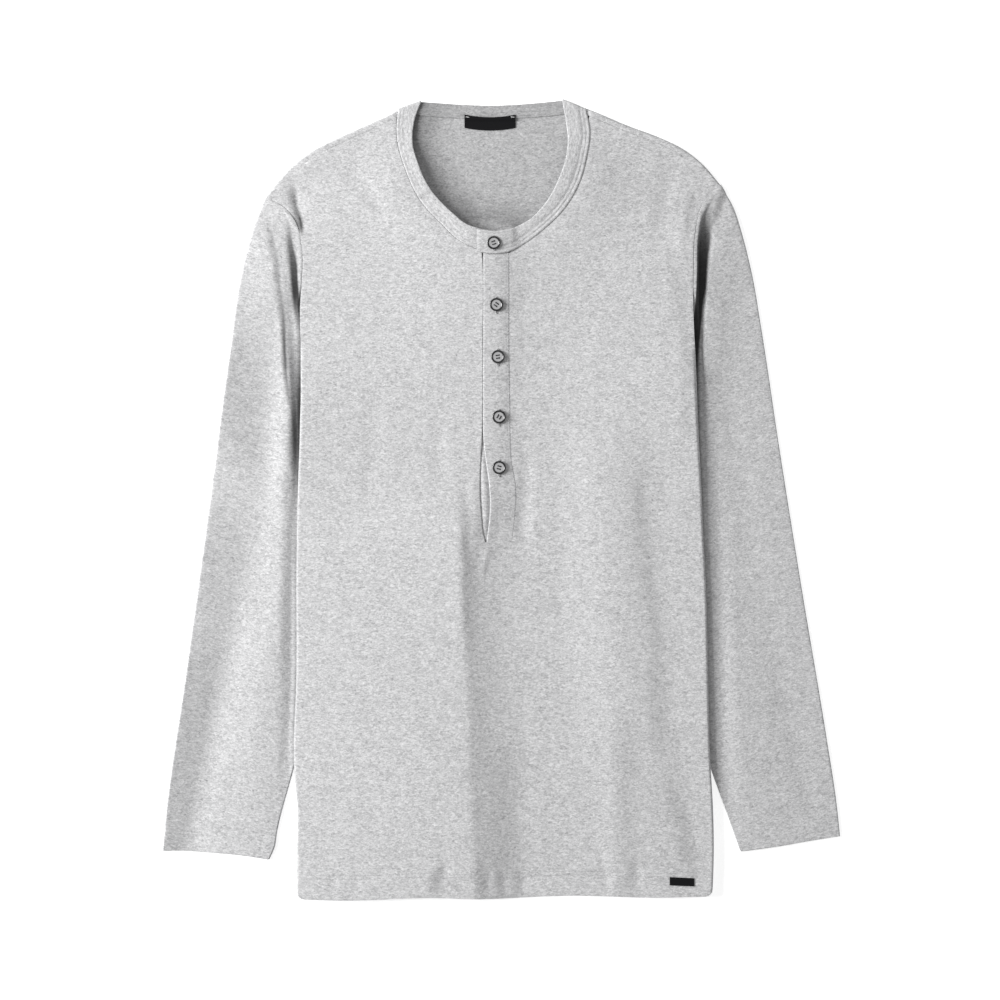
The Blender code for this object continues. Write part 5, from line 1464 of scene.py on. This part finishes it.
class HENLEY_OT_sleeves(bpy.types.Operator):
    """Both sleeves, pressed flat"""
    bl_idname = "henley.sleeves"
    bl_label = "Sleeves"

    def execute(self, context):
        for side, word in ((RIGHT, "right"), (LEFT, "left")):
            name = f"sleeve_{word}"
            finish = jersey("grey_jersey_" + name, turn=side * SLEEVE_TURN, hollow=True)
            piece = wall(name + "_jersey", sleeve_sheet(side), finish)
            declare(name)
        return {"FINISHED"}


class HENLEY_OT_front(bpy.types.Operator):
    """Front panel, with its folds and its hem stitching"""
    bl_idname = "henley.front"
    bl_label = "Front"

    def execute(self, context):
        piece = wall("front_jersey", front_sheet(), jersey("grey_jersey_front", hollow=True))
        declare("front_panel")
        x = np.linspace(*HEM_STITCH_ENDS, HEM_STITCH_POINTS)
        stitches("hem_stitches", [on_front(x, track(HEM, x, 1) + up, WALL / 2 + THREAD_PROUD)
                                  for up in HEM_STITCHES])
        return {"FINISHED"}


class HENLEY_OT_neckband(bpy.types.Operator):
    """Neckband, folded double, with two rows of stitching"""
    bl_idname = "henley.neckband"
    bl_label = "Neckband"

    def execute(self, context):
        finish = jersey("grey_jersey_band", grain=True, hollow=True)
        piece = wall("neckband_jersey", band_sheet(), finish, lit_outside=False)
        declare("neckband")
        grid = band_grid()
        seam, free = grid[:, 0], grid[:, -1]
        width = np.linalg.norm(free - seam, axis=1)[:, None]
        across = (free - seam) / width
        along = np.gradient(seam, axis=0)
        up = np.cross(across, along)
        up *= -1 / np.linalg.norm(up, axis=1, keepdims=True)
        rows = []
        for inward in BAND_STITCHES:
            rise = STRIP / 2 + band_relief(inward) + BAND_THREAD_PROUD
            rows.append((seam + across * inward + up * rise, up))
        stitches("neckband_stitches", rows)
        return {"FINISHED"}


class HENLEY_OT_placket(bpy.types.Operator):
    """The two placket strips, their stitching and the buttonholes"""
    bl_idname = "henley.placket"
    bl_label = "Placket"

    def execute(self, context):
        ys = np.linspace(SLOT_TOP, SLOT_END + TOP_CLEAR, STRIP_ROWS)
        seam = track(PLACKET, ys, 2)
        finish = jersey("grey_jersey_placket")
        piece = wall("placket_top_jersey", strip_sheet(track(PLACKET, ys, 1), seam, ys, TOP_RISE), finish)
        declare("placket_top")
        low_ys = np.linspace(SLOT_TOP, UNDER_END, STRIP_ROWS)
        left, right = (np.full(STRIP_ROWS, x) for x in (UNDER_LEFT, UNDER_RIGHT))
        under = strip_sheet(left, right, low_ys, (-UNDER_DROP, -UNDER_DROP))
        piece = wall("placket_under_jersey", under, finish)
        declare("placket_under")
        rise = TOP_RISE[1] + STRIP / 2 - THREAD_PROUD
        stitches("placket_stitches", [on_front(seam - PLACKET_STITCH_IN, ys, rise)])
        self.buttonholes()
        return {"FINISHED"}

    @staticmethod
    def buttonholes():
        """A slit with a bead of close stitching down either side and a bar across each end."""
        beads, slits = [], []
        for number, (x, y, _) in enumerate(BUTTONS, start=1):
            above, below = BAND_BUTTONHOLE if number == 1 else STRIP_BUTTONHOLE
            ys = np.linspace(y + above, y - below, BUTTONHOLE_POINTS)
            surface = button_surface(number, x, ys)
            for made, out, proud, radius in ((beads, -BEAD_OUT, BEAD_PROUD, BEAD_RADIUS),
                                             (beads, BEAD_OUT, BEAD_PROUD, BEAD_RADIUS),
                                             (slits, 0.0, SLIT_PROUD, SLIT_RADIUS)):
                line = np.column_stack((np.full(len(ys), x + out), ys, surface + proud))
                made.append(capsules(line[:-1], line[1:], UP, radius))
            ends = np.column_stack((np.full(len(ys), x - BAR_HALF), ys, surface + BAR_PROUD))[[0, -1]]
            beads.append(capsules(ends, ends + (2 * BAR_HALF, 0, 0), UP, BAR_RADIUS))
        trim = bpy.context.scene.henley_trim
        threads("buttonhole_stitches", beads, tuple(trim.thread_colour))
        # near-black slits: painted shade in the cuts
        threads("buttonhole_slit_shade", slits, SLIT_SHADE_COLOUR)


def button_surface(number, x, ys):
    """Height of the face of the strip or band that a button lies on."""
    ys = np.asarray(ys, float)
    if number == 1:
        seam, _ = band_front(LEFT, BAND_FRONT_STATIONS)
        level = seam[np.abs(seam[:, 0] - x) < BUTTON_RADIUS * 2, 2].max()
        return np.full(len(ys), level + STRIP / 2 + BAND_BUTTON_CLEAR)
    spots = np.array([x - BUTTON_RADIUS, x, x + BUTTON_RADIUS])
    heights = front_height(*np.broadcast_arrays(spots[None], ys[:, None]))
    return heights.max(axis=1) + TOP_RISE[0] + STRIP / 2


def unit_button():
    """A round button from its section, turned about Z, with four holes cut through it."""
    section = np.array(BUTTON_SECTION)
    rings = section[1:-1]
    angle = np.arange(BUTTON_SIDES) * 2 * math.pi / BUTTON_SIDES
    radius = rings[:, :1] * BUTTON_RADIUS
    body = np.dstack((radius * np.cos(angle), radius * np.sin(angle),
                      np.broadcast_to(rings[:, 1:], (len(rings), BUTTON_SIDES))))
    points = np.concatenate((body.reshape(-1, 3), [(0, 0, section[0, 1]), (0, 0, section[-1, 1])]))
    faces = grid_quads(len(rings), BUTTON_SIDES, closed=True)[:, FLIPPED].tolist()
    bottom, middle = len(points) - 2, len(points) - 1
    first = range(BUTTON_SIDES)
    last = range(bottom - BUTTON_SIDES, bottom)
    faces += [(first[k - BUTTON_SIDES + 1], first[k], bottom) for k in range(BUTTON_SIDES)]
    faces += [(last[k], last[k - BUTTON_SIDES + 1], middle) for k in range(BUTTON_SIDES)]
    mesh = bpy.data.meshes.new("button_blank")
    mesh.from_pydata(points.tolist(), [], faces)
    blank = bpy.data.objects.new("button_blank", mesh)
    bpy.context.scene.collection.objects.link(blank)
    cutters = []
    for sx in (-1, 1):
        for sy in (-1, 1):
            bpy.ops.mesh.primitive_cylinder_add(
                vertices=BUTTON_HOLE_SIDES, radius=BUTTON_HOLE, depth=BUTTON_CUT,
                location=(sx * BUTTON_HOLE_PITCH, sy * BUTTON_HOLE_PITCH, 0.0))
            cutter = bpy.context.object
            cut = blank.modifiers.new("hole", "BOOLEAN")
            cut.object = cutter
            cut.solver = "EXACT"
            cutters.append(cutter)
    bpy.context.view_layer.update()
    done = blank.evaluated_get(bpy.context.evaluated_depsgraph_get()).to_mesh()
    points = np.empty(len(done.vertices) * 3, np.float32)
    done.vertices.foreach_get("co", points)
    faces = [tuple(face.vertices) for face in done.polygons]
    for extra in (*cutters, blank):
        bpy.data.objects.remove(extra, do_unlink=True)
    return points.reshape(-1, 3).astype(float), faces


class HENLEY_OT_buttons(bpy.types.Operator):
    """Five pearly four-hole buttons and the thread that holds them"""
    bl_idname = "henley.buttons"
    bl_label = "Buttons"

    def execute(self, context):
        points, faces = unit_button()
        points[:, 2] *= BUTTON_FLAT
        ring = np.linalg.norm(points[:, :2], axis=1, keepdims=True) / BUTTON_RADIUS
        finish = button_material()
        strands = []
        for number, (x, y, turn) in enumerate(BUTTONS, start=1):
            base = float(button_surface(number, x, y + np.array(BUTTON_SPOTS)).max()) + BUTTON_CLEAR
            cos, sin = math.cos(math.radians(turn)), math.sin(math.radians(turn))
            axis, side = np.array([cos, sin, 0.0]), np.array([-sin, cos, 0.0])
            placed = points @ np.array([axis, side, UP]) + (x, y, base)
            piece = add_piece(f"button_{number}_pearl", placed, faces, finish, {"ring": ring})
            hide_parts(f"button_{number}")
            middle = np.array([x, y, base + BUTTON_SECTION[-1][1] * BUTTON_FLAT + STRAND_PROUD])
            reach = axis * (BUTTON_HOLE_PITCH + STRAND_PAST)
            for row in (-1, 1):
                for apart in (-STRAND_APART, STRAND_APART):
                    centre = (middle + side * (row * BUTTON_HOLE_PITCH + apart))[None]
                    strands.append(capsules(centre - reach, centre + reach, UP, STRAND_RADIUS))
        threads("button_threads", strands, STRAND_COLOUR, finish="button_thread")
        return {"FINISHED"}


class HENLEY_OT_labels(bpy.types.Operator):
    """The two bare black labels and their tacks"""
    bl_idname = "henley.labels"
    bl_label = "Labels"

    def execute(self, context):
        finish = label_material()
        x0, x1, y0, y1 = NECK_LABEL
        columns, rows = NECK_LABEL_GRID
        across, down = np.meshgrid(np.linspace(-1, 1, columns), even(rows))
        x = mix(x0, x1, (across + 1) / 2)
        y = mix(y1, y0, down) + NECK_LABEL_BOW * across**2
        step = LABEL_STEP * smooth((y - LABEL_STEP_FROM) / LABEL_STEP_EASE)
        points = np.dstack((x, y, back_height(x, y) + WALL / 2 + LABEL_PROUD + step))
        label = wall("neck_label_bare", Sheet().grid(points, LABEL_WALL), finish)
        declare("neck_label")
        x0, x1, y0, y1 = HEM_LABEL
        columns, rows = HEM_LABEL_GRID
        x, y = np.meshgrid(np.linspace(x0, x1, columns), np.linspace(y1, y0, rows))
        y = y + HEM_LABEL_SLOPE * (x - (x0 + x1) / 2)
        points = np.dstack((x, y, front_height(x, y) + WALL / 2 + LABEL_PROUD))
        hem = wall("hem_label_bare", Sheet().grid(points, LABEL_WALL), finish)
        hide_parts("hem_label")
        tacks = []
        for x in TACKS:
            height = back_height(np.array(x), np.array(TACK_Y)) + WALL / 2
            ends = np.column_stack((x, TACK_Y, height + LABEL_PROUD + LABEL_STEP + TACK_PROUD))
            tacks.append(capsules(ends[:1], ends[1:], UP, TACK_RADIUS))
        threads("label_tacks", tacks, TACK_COLOUR, finish="white_thread")
        return {"FINISHED"}


class HENLEY_OT_stage(bpy.types.Operator):
    """Plain floor, soft lights and the camera straight above"""
    bl_idname = "henley.stage"
    bl_label = "Stage"

    def execute(self, context):
        stage = context.scene.henley_stage
        mesh = bpy.data.meshes.new("floor")
        corners = ((-1, -1), (1, -1), (1, 1), (-1, 1))
        mesh.from_pydata([(FLOOR_HALF * x, FLOOR_HALF * y, FLOOR_LEVEL) for x, y in corners], [],
                         [(0, 1, 2, 3)])
        floor = bpy.data.objects.new("floor", mesh)
        context.scene.collection.objects.link(floor)
        shader = Shader("pale_floor")
        tone = shader.noise(shader.place(3.0, 3.0, 3.0), detail=2.0, roughness=0.5)
        colour = shader.blend(tone, tuple(stage.floor_colour), toned(stage.floor_colour, 1.01))
        shader.feed(shader.surface, {"Base Color": colour, "Roughness": 0.9, "Specular IOR Level": 0.1,
                                     "Emission Color": (1.0, 1.0, 1.0, 1.0),
                                     "Emission Strength": stage.glow})
        mesh.materials.append(shader.material)
        lamp = bpy.data.lights.new("key", "AREA")
        lamp.shape, lamp.size, lamp.size_y = "RECTANGLE", KEY_SIZE, KEY_SIZE
        lamp.energy = stage.key_power
        key = bpy.data.objects.new("key", lamp)
        out = stage.key_distance * math.cos(stage.key_height)
        key.location = (-out * math.cos(stage.key_turn), out * math.sin(stage.key_turn),
                        stage.key_distance * math.sin(stage.key_height))
        key.rotation_euler = (0.0, -(math.pi / 2 - stage.key_height), -stage.key_turn)
        context.scene.collection.objects.link(key)
        world = bpy.data.worlds.new("studio")
        context.scene.world = world
        world.use_nodes = True
        ground = world.node_tree.nodes["Background"]
        ground.inputs["Color"].default_value = (1.0, 1.0, 1.0, 1.0)
        ground.inputs["Strength"].default_value = stage.fill
        lens = bpy.data.cameras.new("camera")
        lens.lens, lens.sensor_width = LENS, SENSOR
        camera = bpy.data.objects.new("camera", lens)
        camera.location = (*CAMERA_AT, stage.camera_height)
        context.scene.collection.objects.link(camera)
        context.scene.camera = camera
        context.scene.view_settings.view_transform = "Standard"
        return {"FINISHED"}


PIECES = (HENLEY_OT_back, HENLEY_OT_sleeves, HENLEY_OT_front, HENLEY_OT_placket, HENLEY_OT_neckband,
          HENLEY_OT_buttons, HENLEY_OT_labels, HENLEY_OT_stage)


class HENLEY_PT_panel(bpy.types.Panel):
    """Sidebar panel with a button for each group of pieces"""
    bl_idname = "HENLEY_PT_panel"
    bl_label = "Henley shirt"
    bl_space_type = "VIEW_3D"
    bl_region_type = "UI"
    bl_category = "Henley"

    def draw(self, context):
        for group in ("henley_cloth", "henley_trim", "henley_stage"):
            settings = getattr(context.scene, group)
            for key in settings.bl_rna.properties.keys():
                if key not in ("rna_type", "name"):
                    self.layout.prop(settings, key)
        for piece in PIECES:
            self.layout.operator(piece.bl_idname)


GROUPS = {"henley_cloth": HenleyCloth, "henley_trim": HenleyTrim, "henley_stage": HenleyStage}


def register():
    for made in (*GROUPS.values(), *PIECES, HENLEY_PT_panel):
        bpy.utils.register_class(made)
    for name, group in GROUPS.items():
        setattr(bpy.types.Scene, name, bpy.props.PointerProperty(type=group))


def unregister():
    for name in GROUPS:
        delattr(bpy.types.Scene, name)
    for made in reversed((*GROUPS.values(), *PIECES, HENLEY_PT_panel)):
        bpy.utils.unregister_class(made)


def main():
    register()
    for piece in PIECES:
        group, name = piece.bl_idname.split(".")
        if getattr(getattr(bpy.ops, group), name)() != {"FINISHED"}:
            raise RuntimeError(f"{piece.bl_label} wasn't finished")


if __name__ == "__main__":
    main()
